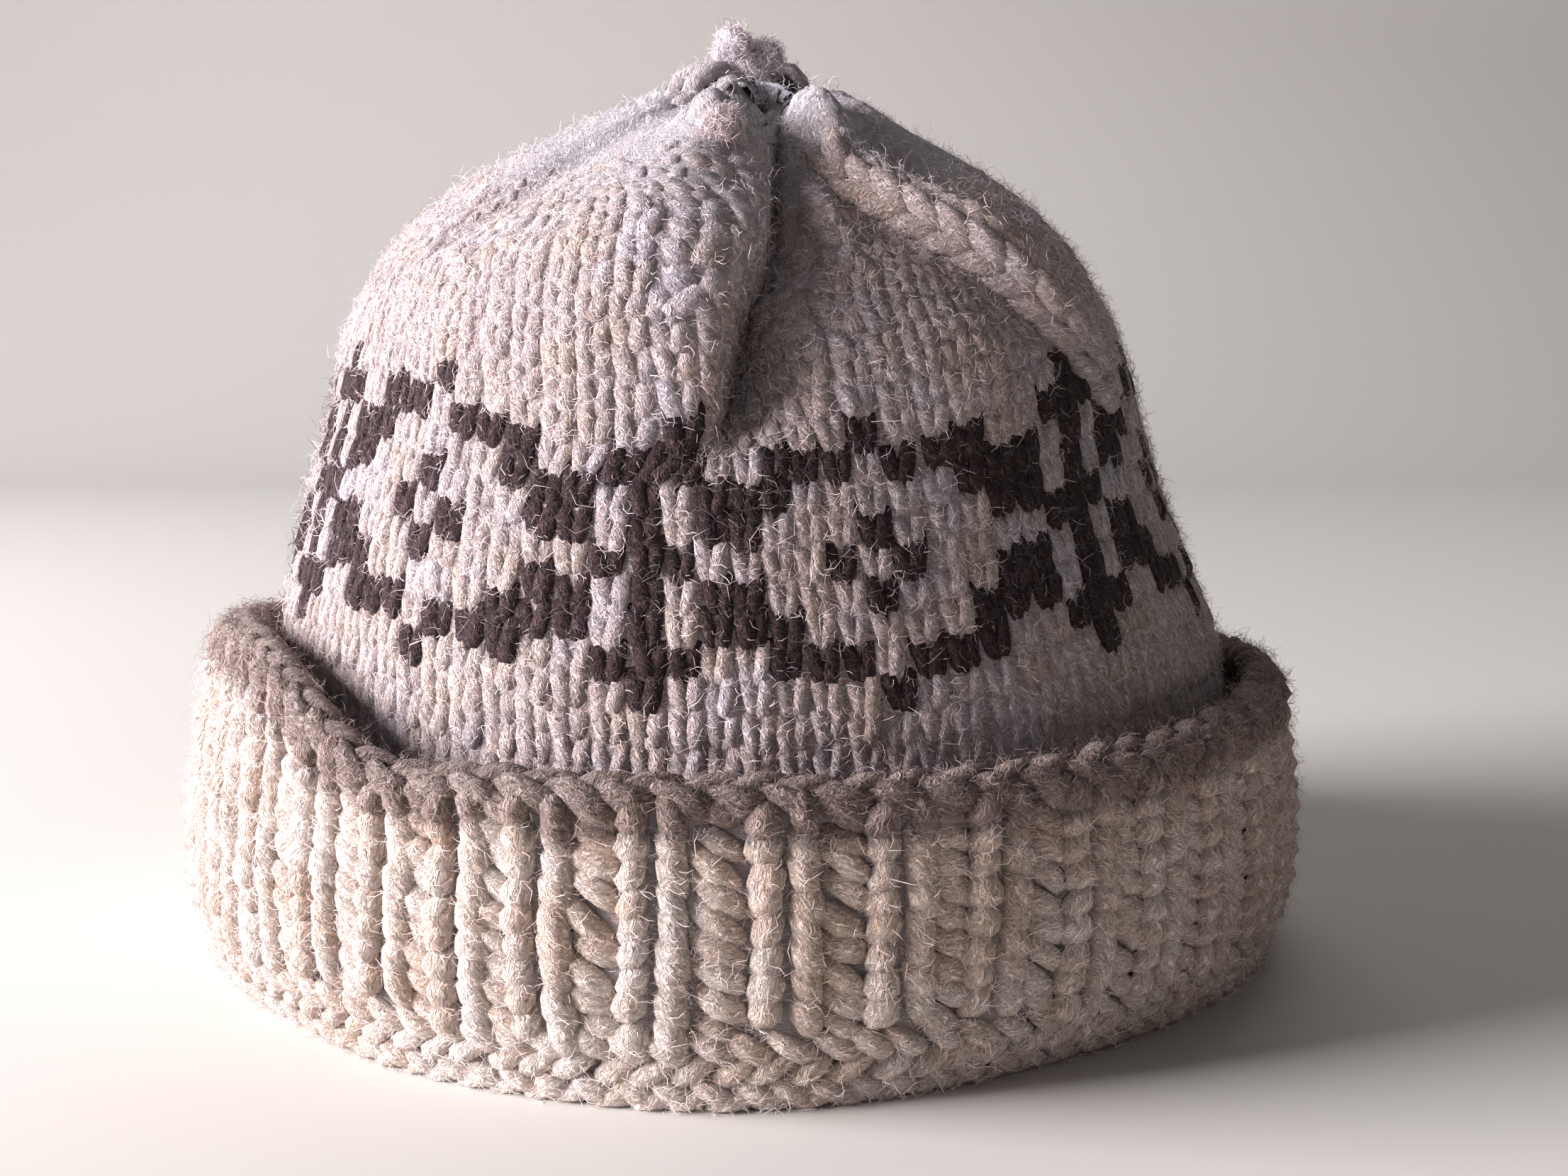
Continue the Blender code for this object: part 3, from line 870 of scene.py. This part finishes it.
allRows = crownRows()
for name, first, last in (("Lower", 0, 12), ("Band", 12, 21), ("Upper", 21, 99)):
    strands = crownStitches([info for info in allRows if first <= info["row"] < last])
    if name == "Upper":
        strands.append(weltStitches())
    knitPiece("crownStitches" + name, strands, [crownWool, brownWool], "crown")


# Shells under the stitches, darkened as painted shade where they show between them

shellForm = {
    "crownAngles": np.arange(0, 360, 360 / 160),
    "cuffAngles": np.arange(-180, 180, 360 / 320),
    "crownInset": 0.4,           # below the CAD's outer face, and this much less near the top
    "topRise": 0.3,
    "valleys": 1.2,              # depth of the cuff's shell between the ribs
}


def loopedShell(rings, tint):
    # rings of points round the hat, joined in order and closed from the last to the first
    rings = np.array(rings)
    count, around = rings.shape[:2]
    index = np.arange(count * around).reshape(count, around)
    there, after = np.roll(index, -1, axis=0), np.roll(index, -1, axis=1)
    points = rings.reshape(-1, 3)
    flat = together(np.arange(around) / around, np.arange(count)[:, None] / count).reshape(-1, 2)
    return {
        "points": points,
        "faces": together(index, after, np.roll(there, -1, axis=1), there).reshape(-1, 4),
        "yarn": flat * 400,
        "OFBake": flat * 0.98 + 0.01,
        "tint": tint(points),
        "paint": np.zeros(len(points), int),
    }


def crownShellRings():
    angles = shellForm["crownAngles"]
    rings = []
    for share in np.linspace(0, 1, 42):
        inset = shellForm["crownInset"] - shellForm["topRise"] * smoothStep(0.6, 0.95, share)
        rings.append(crownPoint(angles, share, inset))
    return rings + [crownPoint(angles, share, crownForm["wall"]) for share in np.linspace(1, 0, 20)]


cuffKnit = {
    "rowPitch": 4.45,
    "rows": 11,
    "greyBorder": 9.0,           # below the rim
    "lowest": 12.2,              # where the ribs end above the fold
    "depth": 1.6,                # the strands' underside, below the CAD's outer face
    # size, seed and strength of the noises that bend the ribs and make the border ragged
    "sway": ((15.0, 71, 1.1), (6.0, 72, 0.4)),
    "rag": ((0.007, 31, 1.6), (0.002, 32, 0.9)),
}


def cuffShellRings():
    angles, depth = shellForm["cuffAngles"], cuffKnit["depth"]
    relief = shellForm["valleys"] * (ribRelief(angles) - 1)
    rim, lean, floor = (cuffAt(name, angles) for name in ("rim", "lean", "floor"))
    inner, seam = cuffForm["radius"] - cuffForm["wall"], crownForm["radius"][0]
    rings = [(seam, 12.0), (seam + 3, 8.0), (inner - 4, 7.5), (inner + 1, 13.0)]
    for share in (0.15, 0.35, 0.6, 0.8, 0.97):
        leaning = np.interp(share, [0, 0.3, 0.8, 1], [0, 0.1, 0.7, 1.0]) * lean
        rings.append((inner + depth + 0.3 + leaning - 0.3 * relief, mix(13, rim - 2.5, share)))
    for share in np.linspace(1, 0, 22):
        height = mix(2.2, rim - 2.2, share)
        weight = smoothStep(0, 12, height) * (1 - smoothStep(rim - 12, rim - 4, height))
        rings.append((cuffOuter(angles, height, relief * weight) - (depth - 0.2), height))
    rings += [(floor - 1, 0.5), (seam - 1, 0.3), (seam - 4.5, 3.5), (seam - 5, 12.0)]
    return [ringPoint(radius, angles, height) for radius, height in rings]


makePiece("crownShell", loopedShell(crownShellRings(), shadedCrownGapTint), [crownWool], ["crown"])
makePiece("cuffShell", loopedShell(cuffShellRings(), shadedGapTint), [creamWool], ["cuff"])


# Cuff ribs: knit columns upside down, because the cuff is turned up, and purl bumps between them.
# Each shape gives places along a strand: down from its top, out from the rib's middle, lift and fullness.

leftLeg = shapeOf({
    "down": [-0.40, -0.32, -0.08, 0.20, 0.48, 0.72, 0.80],      # in rows
    "out": [-1.3, -2.0, -2.6, -3.2, -4.0, -4.7, -5.1],
    "lift": [-1.7, -0.4, 0.8, 1.3, 0.7, -0.6, -1.8],
    "full": [0.32, 0.70, 1.02, 1.18, 1.05, 0.72, 0.32],
    "pitch": cuffKnit["rowPitch"],
    "stretch": (0.95, 1.05),
    "loose": 0.15,
    "halfWidth": 2.5,
    "height": 1.9,
    "relief": 0.0,
    "room": 0.35,                # rows that have to be free below the top
})
rightLeg = shapeOf({
    **leftLeg,
    "down": [-0.60, -0.50, -0.20, 0.25, 0.70, 1.02, 1.24],
    "out": [1.5, 2.1, 2.7, 3.2, 3.7, 4.2, 4.4],
    "lift": [-1.6, -0.4, 0.6, 0.95, 0.4, -0.6, -1.7],
    "full": [0.35, 0.80, 1.02, 1.1, 1.02, 0.82, 0.4],
})
purlShape = shapeOf({
    "down": [-3.3, -2.7, -1.5, 0.0, 1.5, 2.7, 3.3],
    "out": [-4.5, -3.7, -2.1, -0.1, 1.8, 3.4, 4.2],
    "lift": [-1.6, -0.5, 0.4, 0.8, 0.4, -0.5, -1.6],
    "full": [0.45, 0.85, 1.02, 1.1, 1.02, 0.85, 0.45],
    "pitch": 1.0,
    "stretch": (0.55, 1.2),
    "loose": 0.7,
    "halfWidth": 2.3,
    "height": 1.65,
    "relief": -0.6,
    "room": 0.1,
})


def cuffTint(points):
    # grey-brown near the rim, cream below, with a ragged border; also the share of cream
    flat = points / mm
    rim = cuffAt("rim", np.degrees(np.arctan2(flat[:, 0], -flat[:, 1])))
    rag = layeredNoise(points, *cuffKnit["rag"])
    share = smoothStep(-1.0, 1.2, rim - cuffKnit["greyBorder"] - flat[:, 2] + rag)
    return mix(heatherTint(points), creamTint(points, 40, warm=True), share[..., None]), share


def layOnCuff(middle, top, shape):
    # strands whose middle angle and top height are given, one each
    count = len(middle)
    down = shape["down"] * shape["pitch"] * vary(*shape["stretch"], count) + shake(0.35, count)
    height = top[:, None] - down
    spot = together(np.radians(middle)[:, None] * cuffForm["radius"], height, 0.0)
    out = shape["out"] + layeredNoise(spot, *cuffKnit["sway"]) + shake(shape["loose"], count)
    angle = middle[:, None] + np.degrees(out / cuffForm["radius"])
    normals = cuffNormal(angle, height)
    lift = shape["lift"] + shake(0.10, count)
    paths = cuffPoint(angle, height, cuffKnit["depth"], shape["relief"]) + normals * lift[..., None] * mm
    halfWidths = shape["full"] * shape["halfWidth"] * vary(0.84, 1.14, count)
    heights = shape["full"] * shape["height"] * vary(0.86, 1.14, count)
    part = sweepStrands(paths, normals, halfWidths, heights, lumps=0.5)
    tint, share = cuffTint(part["points"])
    tint = tint * spread(part, draw.uniform(1.10, 1.30, count))
    grey = share.reshape(count, -1).mean(1) < 0.5
    return dressStrands(part, tint, 0.5, spread(part, grey)[:, 0])


def ribStrands():
    parts = []
    ribs = np.arange(cuffForm["ribs"]) - cuffForm["ribs"] // 2
    knitAngles, purlAngles = ribAngle(ribs + 0.5), ribAngle(ribs)
    for row in range(-1, cuffKnit["rows"]):
        for angles, shape in ((knitAngles, leftLeg), (knitAngles, rightLeg), (purlAngles, purlShape)):
            top = cuffAt("rim", angles) - cuffKnit["greyBorder"] - row * cuffKnit["rowPitch"]
            shown = top - shape["room"] * cuffKnit["rowPitch"] > cuffKnit["lowest"]
            if shown.any():
                parts.append(layOnCuff(angles[shown], top[shown], shape))
    return parts


knitPiece("cuffRibs", ribStrands(), [creamWool, heatherWool], "cuff")

# The cuff's fold: courses of slanted bumps, each course the other way from the last

foldKnit = shapeOf({
    "bumps": 106,
    "courses": ((10.6, 1), (6.6, -1), (2.9, 1), (0.9, -1)),   # height, slant
    "length": 7.0,
    "slant": 2.0,
    "depth": 1.5,
    "out": [-0.55, -0.44, -0.24, 0.0, 0.24, 0.44, 0.55],
    "drop": [-1.0, -0.85, -0.5, 0.0, 0.5, 0.85, 1.0],
    "lift": [-1.3, -0.35, 0.45, 0.75, 0.45, -0.35, -1.3],
    "full": [0.4, 0.8, 1.0, 1.06, 1.0, 0.8, 0.4],
    "halfWidth": 1.95,
    "height": 1.65,
})


def roundTheFold(count, offset, loose):
    # middles of the stitches of one course, evenly round the hat but for small chance moves
    return (np.arange(count) + offset) * 360 / count - 180 + draw.normal(0, loose, count)


def foldStrands():
    parts = []
    count = foldKnit["bumps"]
    for height, slant in foldKnit["courses"]:
        middle = roundTheFold(count, 0.5 * (slant > 0), 0.25)
        out = foldKnit["out"] * foldKnit["length"] * vary(0.92, 1.1, count)
        angle = middle[:, None] + np.degrees(out / cuffForm["foldRadius"])
        drop = foldKnit["drop"] * foldKnit["slant"] * slant + shake(0.2, count)
        high = np.maximum(height - drop, 0.6)
        normals = cuffNormal(angle, high)
        lift = foldKnit["lift"] + shake(0.08, count)
        paths = cuffPoint(angle, high, foldKnit["depth"]) + normals * lift[..., None] * mm
        halfWidths = foldKnit["full"] * foldKnit["halfWidth"] * vary(0.92, 1.1, count)
        heights = foldKnit["full"] * foldKnit["height"] * vary(0.92, 1.08, count)
        part = sweepStrands(paths, normals, halfWidths, heights)
        tint = creamTint(part["points"], 40, warm=True) * spread(part, draw.uniform(1.10, 1.30, count))
        part["points"][:, 2] = np.maximum(part["points"][:, 2], 0.2 * mm)
        parts.append(dressStrands(part, tint, 0.5))
    return parts


knitPiece("cuffFold", foldStrands(), [creamWool], "cuff")

# The cast-on edge: long slanted stitches, one chain on the outer rim and one over the top

edgeKnit = shapeOf({
    "stitches": 80,
    "chains": ((0.16, 1), (0.62, -1)),     # place over the rim from outside (0) to inside (1), slant
    "length": 13.0,
    "over": 9.5,                           # length over the rim, from outside to inside
    "out": [-0.50, -0.42, -0.28, -0.10, 0.10, 0.28, 0.42, 0.50],
    "drop": [-1.4, -1.1, -0.4, 0.7, 2.1, 3.4, 4.3, 4.7],
    "middleDrop": 1.8,
    "lift": [-1.4, -0.5, 0.4, 0.85, 0.8, 0.35, -0.6, -1.6],
    "full": [0.3, 0.45, 0.66, 0.88, 1.05, 1.12, 0.95, 0.5],
    "halfWidth": 2.45,
    "height": 1.8,
})


rimForm = {
    "drawnIn": 1.8,              # from the cuff's radius to the rim's outer face
    "middle": 3.1,               # from there to the middle of the round
    "half": 3.4,
    "below": 3.0,                # the middle of the round, below the top
    "flatter": 0.4,
    "start": -15,                # where the round starts outside and how far it goes, degrees
    "turn": 190,
    "strandInset": 1.4,
    "shellInset": 1.5,
    "shellDepth": 3.5,
}


def rimPoint(angle, along, inset):
    # a round rim: along is 0 at the outer face, 1 at the inner face
    rim, lean = cuffAt("rim", angle), cuffAt("lean", angle)
    middle = cuffForm["radius"] - rimForm["drawnIn"] + lean - rimForm["middle"]
    half = rimForm["half"] - inset
    turn = np.radians(rimForm["start"] + rimForm["turn"] * along)
    height = rim - rimForm["below"] + (half - rimForm["flatter"]) * np.sin(turn)
    return ringPoint(middle + half * np.cos(turn), angle, height)


def chainStrands():
    parts = []
    count = edgeKnit["stitches"]
    for lane, (start, slope) in enumerate(edgeKnit["chains"]):
        middle = roundTheFold(count, 0.5 * lane, 0.3)
        out = edgeKnit["out"] * edgeKnit["length"] * vary(0.9, 1.1, count)
        angle = middle[:, None] + np.degrees(out / cuffForm["foldRadius"])
        drop = slope * (edgeKnit["drop"] - edgeKnit["middleDrop"])
        along = start - drop / edgeKnit["over"] + shake(0.012, count)
        normals = unit(rimPoint(angle, along, 0.0) - rimPoint(angle, along, 2.0))
        lift = edgeKnit["lift"] + shake(0.1, count)
        paths = rimPoint(angle, along, rimForm["strandInset"]) + normals * lift[..., None] * mm
        halfWidths = edgeKnit["full"] * edgeKnit["halfWidth"] * vary(0.9, 1.1, count)
        heights = edgeKnit["full"] * edgeKnit["height"] * vary(0.9, 1.05, count)
        part = sweepStrands(paths, normals, halfWidths, heights, across=6, lumps=0.55)
        tint = heatherTint(part["points"]) * spread(part, draw.uniform(0.85, 1.15, count))
        parts.append(dressStrands(part, tint, 0.7))
    return parts


def rimShellRings():
    angles = shellForm["cuffAngles"]
    rings = [rimPoint(angles, along, rimForm["shellInset"]) for along in np.linspace(0, 1, 7)]
    down = np.array([0, 0, rimForm["shellDepth"] * mm])
    rings += [ring - down for ring in (rings[-1], rings[0])]
    return rings[::-1]


# painted shade: the shell between the rim's strands is darker than the yarn
def shadedRimTint(points):
    return heatherTint(points) * 0.7


knitPiece("rimEdge", chainStrands(), [heatherWool], "cuff_edge")
makePiece("rimShell", loopedShell(rimShellRings(), shadedRimTint), [heatherWool], ["cuff_edge"])
print("knitting made")


# Loose hairs of the wool: narrow ribbons that stand on the strands' upper sides and curl

hairLook = {
    "width": 0.052,              # half a hair
    "taper": [1, 0.9, 0.3],      # of that width, at these places along the hair
    "taperAt": [0, 0.6, 1],
    "shortest": 1.3,
    "usual": 3.4,
    "longest": 6.5,
    "long": 0.10,                # the part of the hairs that are longer than usual
    "scatter": 0.35,             # of the roots over the strands
    "rise": 0.12,                # of the roots above the strands
    "sink": 0.16,                # how much a hair turns back towards the wool
}
# stand is how much the hairs stand up
hairCoats = tableOf(
    ("name", "pieces", "count", "slot", "stand", "segments"),
    ("crownHairsLower", ["crownStitchesLower"], 22000, "cream_wool", 0.32, 2),
    ("crownHairsBand", ["crownStitchesBand"], 35000, "cream_wool", 0.32, 2),
    ("crownHairsUpper", ["crownStitchesUpper"], 30000, "cream_wool", 0.36, 3),
    ("cuffHairs", ["cuffRibs", "cuffFold"], 44000, "cream_wool", 0.32, 2),
    ("rimHairs", ["rimEdge"], 10000, "heather_wool", 0.4, 3),
)


def woolHairs(name, pieces, count, slot, stand, segments, reach=1.0):
    roots, outs, tints, paints = (
        np.concatenate([hairRoots[piece][kind] for piece in pieces]) for kind in range(4))
    pick = draw.integers(0, len(roots), count)
    place, out = roots[pick] + draw.normal(0, hairLook["scatter"] * mm, (count, 3)), outs[pick]
    heading = unit(draw.normal(0, 1, (count, 3)))
    heading = unit(heading - out * (heading * out).sum(-1, keepdims=True))
    heading = unit(heading + out * vary(0.1, 1, count) ** 1.5 * 2 * stand)
    length = mix(hairLook["shortest"], hairLook["usual"], draw.uniform(0, 1, count))
    isLong = draw.uniform(0, 1, count) < hairLook["long"]
    length = np.where(isLong, draw.uniform(hairLook["usual"], hairLook["longest"], count), length) * reach
    axis = unit(draw.normal(0, 0.6, (count, 3)) + out * draw.choice([-1.0, 1.0], (count, 1)))
    curl = length[:, None] / segments / vary(0.7, 2.0, count)
    width = unit(np.cross(heading, out) + draw.normal(0, 0.4, (count, 3)))
    place = place + out * hairLook["rise"] * mm
    pairs = []
    for i in range(segments + 1):
        taper = np.interp(i / segments, hairLook["taperAt"], hairLook["taper"])
        offset = width * hairLook["width"] * taper * mm
        pairs.append(np.stack([place - offset, place + offset], 1))
        place = place + heading * (length / segments)[:, None] * mm
        turned = unit(heading + np.cross(axis, heading) * curl + draw.normal(0, 0.2, (count, 3)))
        heading = unit(turned - out * (hairLook["sink"] if i else 0.0))
        width = unit(width - heading * (width * heading).sum(-1, keepdims=True))
    points = np.stack(pairs, 1).reshape(-1, 3)
    points[:, 2] = np.maximum(points[:, 2], 0.1 * mm)
    pale = mix(tints[pick], woolColours["white"], vary(0.3, 1.0, count))
    pale = mix(pale, woolColours["cool"], vary(-0.9, 0.2, count).clip(0, 1))
    dull = mix(tints[pick], woolColours["dull"], vary(-0.6, 0.75, count).clip(0, 1))
    isDark = (paints[pick] > 0) | (slot == "heather_wool")
    baked = bakeCells(count, np.linspace(0.1, 0.9, segments + 1), np.array([0.2, 0.8]))
    part = {
        "points": points,
        "faces": gridFaces(count, segments + 1, 2),
        "yarn": baked * 40,
        "OFBake": baked,
        "tint": np.repeat(np.where(isDark[:, None], dull, pale), (segments + 1) * 2, axis=0),
        "paint": np.zeros(len(points), int),
    }
    makePiece(name, part, [woolHair])


for coat in hairCoats:
    woolHairs(**coat)
print("hairs made")


# The gather: loops of the last stitches pulled up round the tuft, and pale yarn wound through them

gatherKnit = shapeOf({
    "middle": (2.5, -1.0),
    # each loop's direction and reach
    "loops": ((-150, 14), (-118, 15), (-86, 16), (-56, 14), (98, 9.0), (130, 12), (165, 13)),
    "profile": ((1.0, 168.8), (0.84, 172.4), (0.62, 174.3), (0.44, 174.8), (0.26, 173.2), (0.12, 170.6)),
    "full": [0.7, 1.0, 1.05, 1.0, 0.9, 0.6],
    "halfWidth": 2.5,
    "height": 2.2,
    "yarnRadius": 0.85,
})
# turns of pale yarn, each by the places it goes through
paleTurns = (
    ((-3.3, -19, 168.0), (-0.2, -14, 169.6), (3.7, -12, 170.4), (7.6, -12.5, 169.8), (9.8, -15, 168.6)),
    ((-1.8, -20, 167.0), (2.1, -14, 168.3), (6.0, -12, 169.1), (8.9, -15, 168.0)),
    ((0.6, -18, 167.0), (2.9, -17.5, 165.6), (4.5, -19, 163.6), (6.0, -20, 162.2), (7.2, -19, 163.3),
     (6.9, -15, 166.2)),
    ((-0.2, -22.5, 165.8), (1.8, -22, 163.8), (4.5, -21, 161.8)),
    ((2.1, -12, 167.2), (4.5, -11.5, 167.9), (6.9, -12, 167.4), (7.9, -16, 165.0)),
    ((8.8, -12, 170.0), (6.0, -8.5, 171.4), (2.0, -8.0, 171.6), (-2.0, -9.0, 170.4)),
)


def gatherStrands():
    middle = np.array([*gatherKnit["middle"], 0.0])
    paths, normals = [], []
    for direction, reach in gatherKnit["loops"]:
        turn = math.radians(direction)
        away = np.array([math.sin(turn), -math.cos(turn), 0.0])
        line = np.array([middle + away * (share * reach + 1.5) + [0, 0, height]
                         for share, height in gatherKnit["profile"]])
        paths.append(line + draw.normal(0, 0.35, 3))
        normals.append(unit(line - middle - [0, 0, 166]))
    full = gatherKnit["full"] * vary(0.9, 1.12, len(paths))
    part = sweepStrands(
        np.array(paths) * mm, np.array(normals), full * gatherKnit["halfWidth"], full * gatherKnit["height"],
        across=7)
    return dressStrands(part, mix(creamTint(part["points"], 19), woolColours["paleTop"], 0.5))


def paleStrands():
    middle = np.array([*gatherKnit["middle"], 160.0])
    fine = np.linspace(0, 1, 12)
    lines = np.array([
        together(*(curveThrough(column, np.linspace(0, 1, len(places)), fine) for column in zip(*places)))
        for places in paleTurns])
    radius = np.ones(lines.shape[:2]) * vary(0.85, 1.1, len(lines)) * gatherKnit["yarnRadius"]
    part = sweepStrands(lines * mm, unit(lines - middle), radius, radius, across=7, reach=170)
    return dressStrands(part, np.tile(woolColours["paleYarn"], (len(part["points"]), 1)), 0)


knitPiece("gatherLoops", [gatherStrands()], [crownWool], "crown")
knitPiece("gatherYarn", [paleStrands()], [paleYarn], "gather_yarn")


# The tuft's lumps, and the end of a stitch that stands out as a small ball on the left lobe

tuftForm = {
    "detail": 4,
    "swell": ((0.8, 0.20), (0.35, 0.10), (0.14, 0.05)),      # size and height of the lumps' lumps
    "lumps": (                                               # name, middle, size, seed
        ("left", (-1.7, -1.2, 178.6), (3.7, 3.8, 5.0), 51),
        ("right", (4.7, 0.8, 177.2), (3.3, 3.5, 4.2), 61),
        ("root", (1.8, -0.4, 174.0), (5.4, 5.0, 3.6), 71),
    ),
    "knob": ("knob", (-3.0, -41.6, 160.3), (3.7, 3.6, 3.8), 81),
    "fibres": 26,                                            # millimetres of yarn across the UV map
    "paleTuft": 0.7,
}


def readVector(made, name):
    values = np.zeros(len(made.data.vertices) * 3)
    made.data.vertices.foreach_get(name, values)
    return values.reshape(-1, 3)


def fluffLump(name, centre, size, seed):
    bpy.ops.mesh.primitive_ico_sphere_add(subdivisions=tuftForm["detail"], radius=1, location=(0, 0, 0))
    lump = bpy.context.object
    lump.name = name
    points = readVector(lump, "co")
    layers = [(wide, seed + i, high) for i, (wide, high) in enumerate(tuftForm["swell"])]
    swell = layeredNoise(points, *layers)
    points = points * (1 + swell)[:, None] * np.array(size) * mm + np.array(centre) * mm
    lump.data.vertices.foreach_set("co", points.ravel())
    lump.data.update()
    return lump


def finishFluff(made, name, node, pale):
    made.name = name
    points = readVector(made, "co")
    tint = mix(creamTint(points, 7), woolColours["paleTop"], pale)
    layer = made.data.uv_layers[0]
    layer.name = "yarn"
    flat = np.zeros(len(layer.uv) * 2, np.float32)
    layer.uv.foreach_get("vector", flat)
    layer.uv.foreach_set("vector", flat * tuftForm["fibres"])
    finishPiece(made, tint, [crownWool], [node])
    hairRoots[name] = [points, readVector(made, "normal"), tint, np.zeros(len(points), int)]


lumps = [fluffLump(*row) for row in tuftForm["lumps"]]
bpy.ops.object.select_all(action="DESELECT")
for lump in lumps:
    lump.select_set(True)
bpy.context.view_layer.objects.active = lumps[0]
bpy.ops.object.join()
finishFluff(bpy.context.object, "tuftWool", "tuft", tuftForm["paleTuft"])
finishFluff(fluffLump(*tuftForm["knob"]), "knobWool", "crown", 0.0)
topPieces = ["gatherLoops", "gatherYarn", "tuftWool", "knobWool"]
woolHairs("gatherHairs", topPieces, 7000, "cream_wool", stand=0.4, segments=3, reach=0.7)
print("gather and tuft made")


# Floor, light and camera

stageForm = {
    "front": -4.0,
    "bend": 1.1,                 # where the floor starts to turn up, metres behind the hat
    "round": 0.9,
    "top": 5.0,
    "half": 5.0,
    "colour": (0.62, 0.60, 0.56),
}
lights = tableOf(
    ("name", "place", "aim", "size", "power", "colour"),
    ("windowLight", (-1.54, -0.30, 0.54), (0, 0, 0.09), (1.0, 0.9), 95, (1.0, 0.955, 1.0)),
    ("skyLight", (0.25, 1.10, 1.25), (0, 0, 0.12), (1.2, 1.2), 5, (0.95, 0.97, 1.0)),
    ("fillLight", (0.25, -1.6, 0.75), (0, 0, 0.08), (1.4, 1.2), 1.6, (1.0, 0.93, 0.90)),
)
roomLight = {"colour": (0.84, 0.80, 0.82, 1), "strength": 0.085}
view = {"place": (0.0084, -0.4243, 0.1273), "tilt": 82.319, "lens": 47.14, "sensor": 36}


def makeStage():
    # a pale floor that turns up softly into the backdrop
    turn = np.radians(np.linspace(0, 90, 25))
    wall = stageForm["bend"] + stageForm["round"]
    depth = [stageForm["front"], *(stageForm["bend"] + stageForm["round"] * np.sin(turn)), wall]
    height = [0, *(stageForm["round"] * (1 - np.cos(turn))), stageForm["top"]]
    corners = [(x, y, z) for y, z in zip(depth, height) for x in (-stageForm["half"], stageForm["half"])]
    faces = [(2 * i, 2 * i + 1, 2 * i + 3, 2 * i + 2) for i in range(len(depth) - 1)]
    mesh = bpy.data.meshes.new("floor")
    mesh.from_pydata(corners, [], faces)
    mesh.shade_smooth()
    mesh.materials.append(
        newMaterial("paleFloor", {"Base Color": (*stageForm["colour"], 1), "Roughness": 0.9})[0])
    floor = bpy.data.objects.new("floor", mesh)
    bpy.context.scene.collection.objects.link(floor)


def areaLight(name, place, aim, size, power, colour):
    data = bpy.data.lights.new(name, "AREA")
    data.shape = "RECTANGLE"
    data.size, data.size_y = size
    data.energy = power
    data.color = colour
    light = bpy.data.objects.new(name, data)
    bpy.context.scene.collection.objects.link(light)
    light.location = place
    light.rotation_euler = (Vector(aim) - Vector(place)).to_track_quat("-Z", "Y").to_euler()


def makeCamera():
    data = bpy.data.cameras.new("camera")
    data.sensor_width = view["sensor"]
    data.lens = view["lens"]
    camera = bpy.data.objects.new("camera", data)
    bpy.context.scene.collection.objects.link(camera)
    camera.location = view["place"]
    camera.rotation_euler = (math.radians(view["tilt"]), 0, 0)
    bpy.context.scene.camera = camera


makeStage()
for light in lights:
    areaLight(**light)
world = bpy.context.scene.world or bpy.data.worlds.new("studio")
bpy.context.scene.world = world
world.use_nodes = True
background = world.node_tree.nodes["Background"].inputs
background["Color"].default_value = roomLight["colour"]
background["Strength"].default_value = roomLight["strength"]
bpy.context.scene.view_settings.view_transform = "Standard"
makeCamera()
print("stage made")
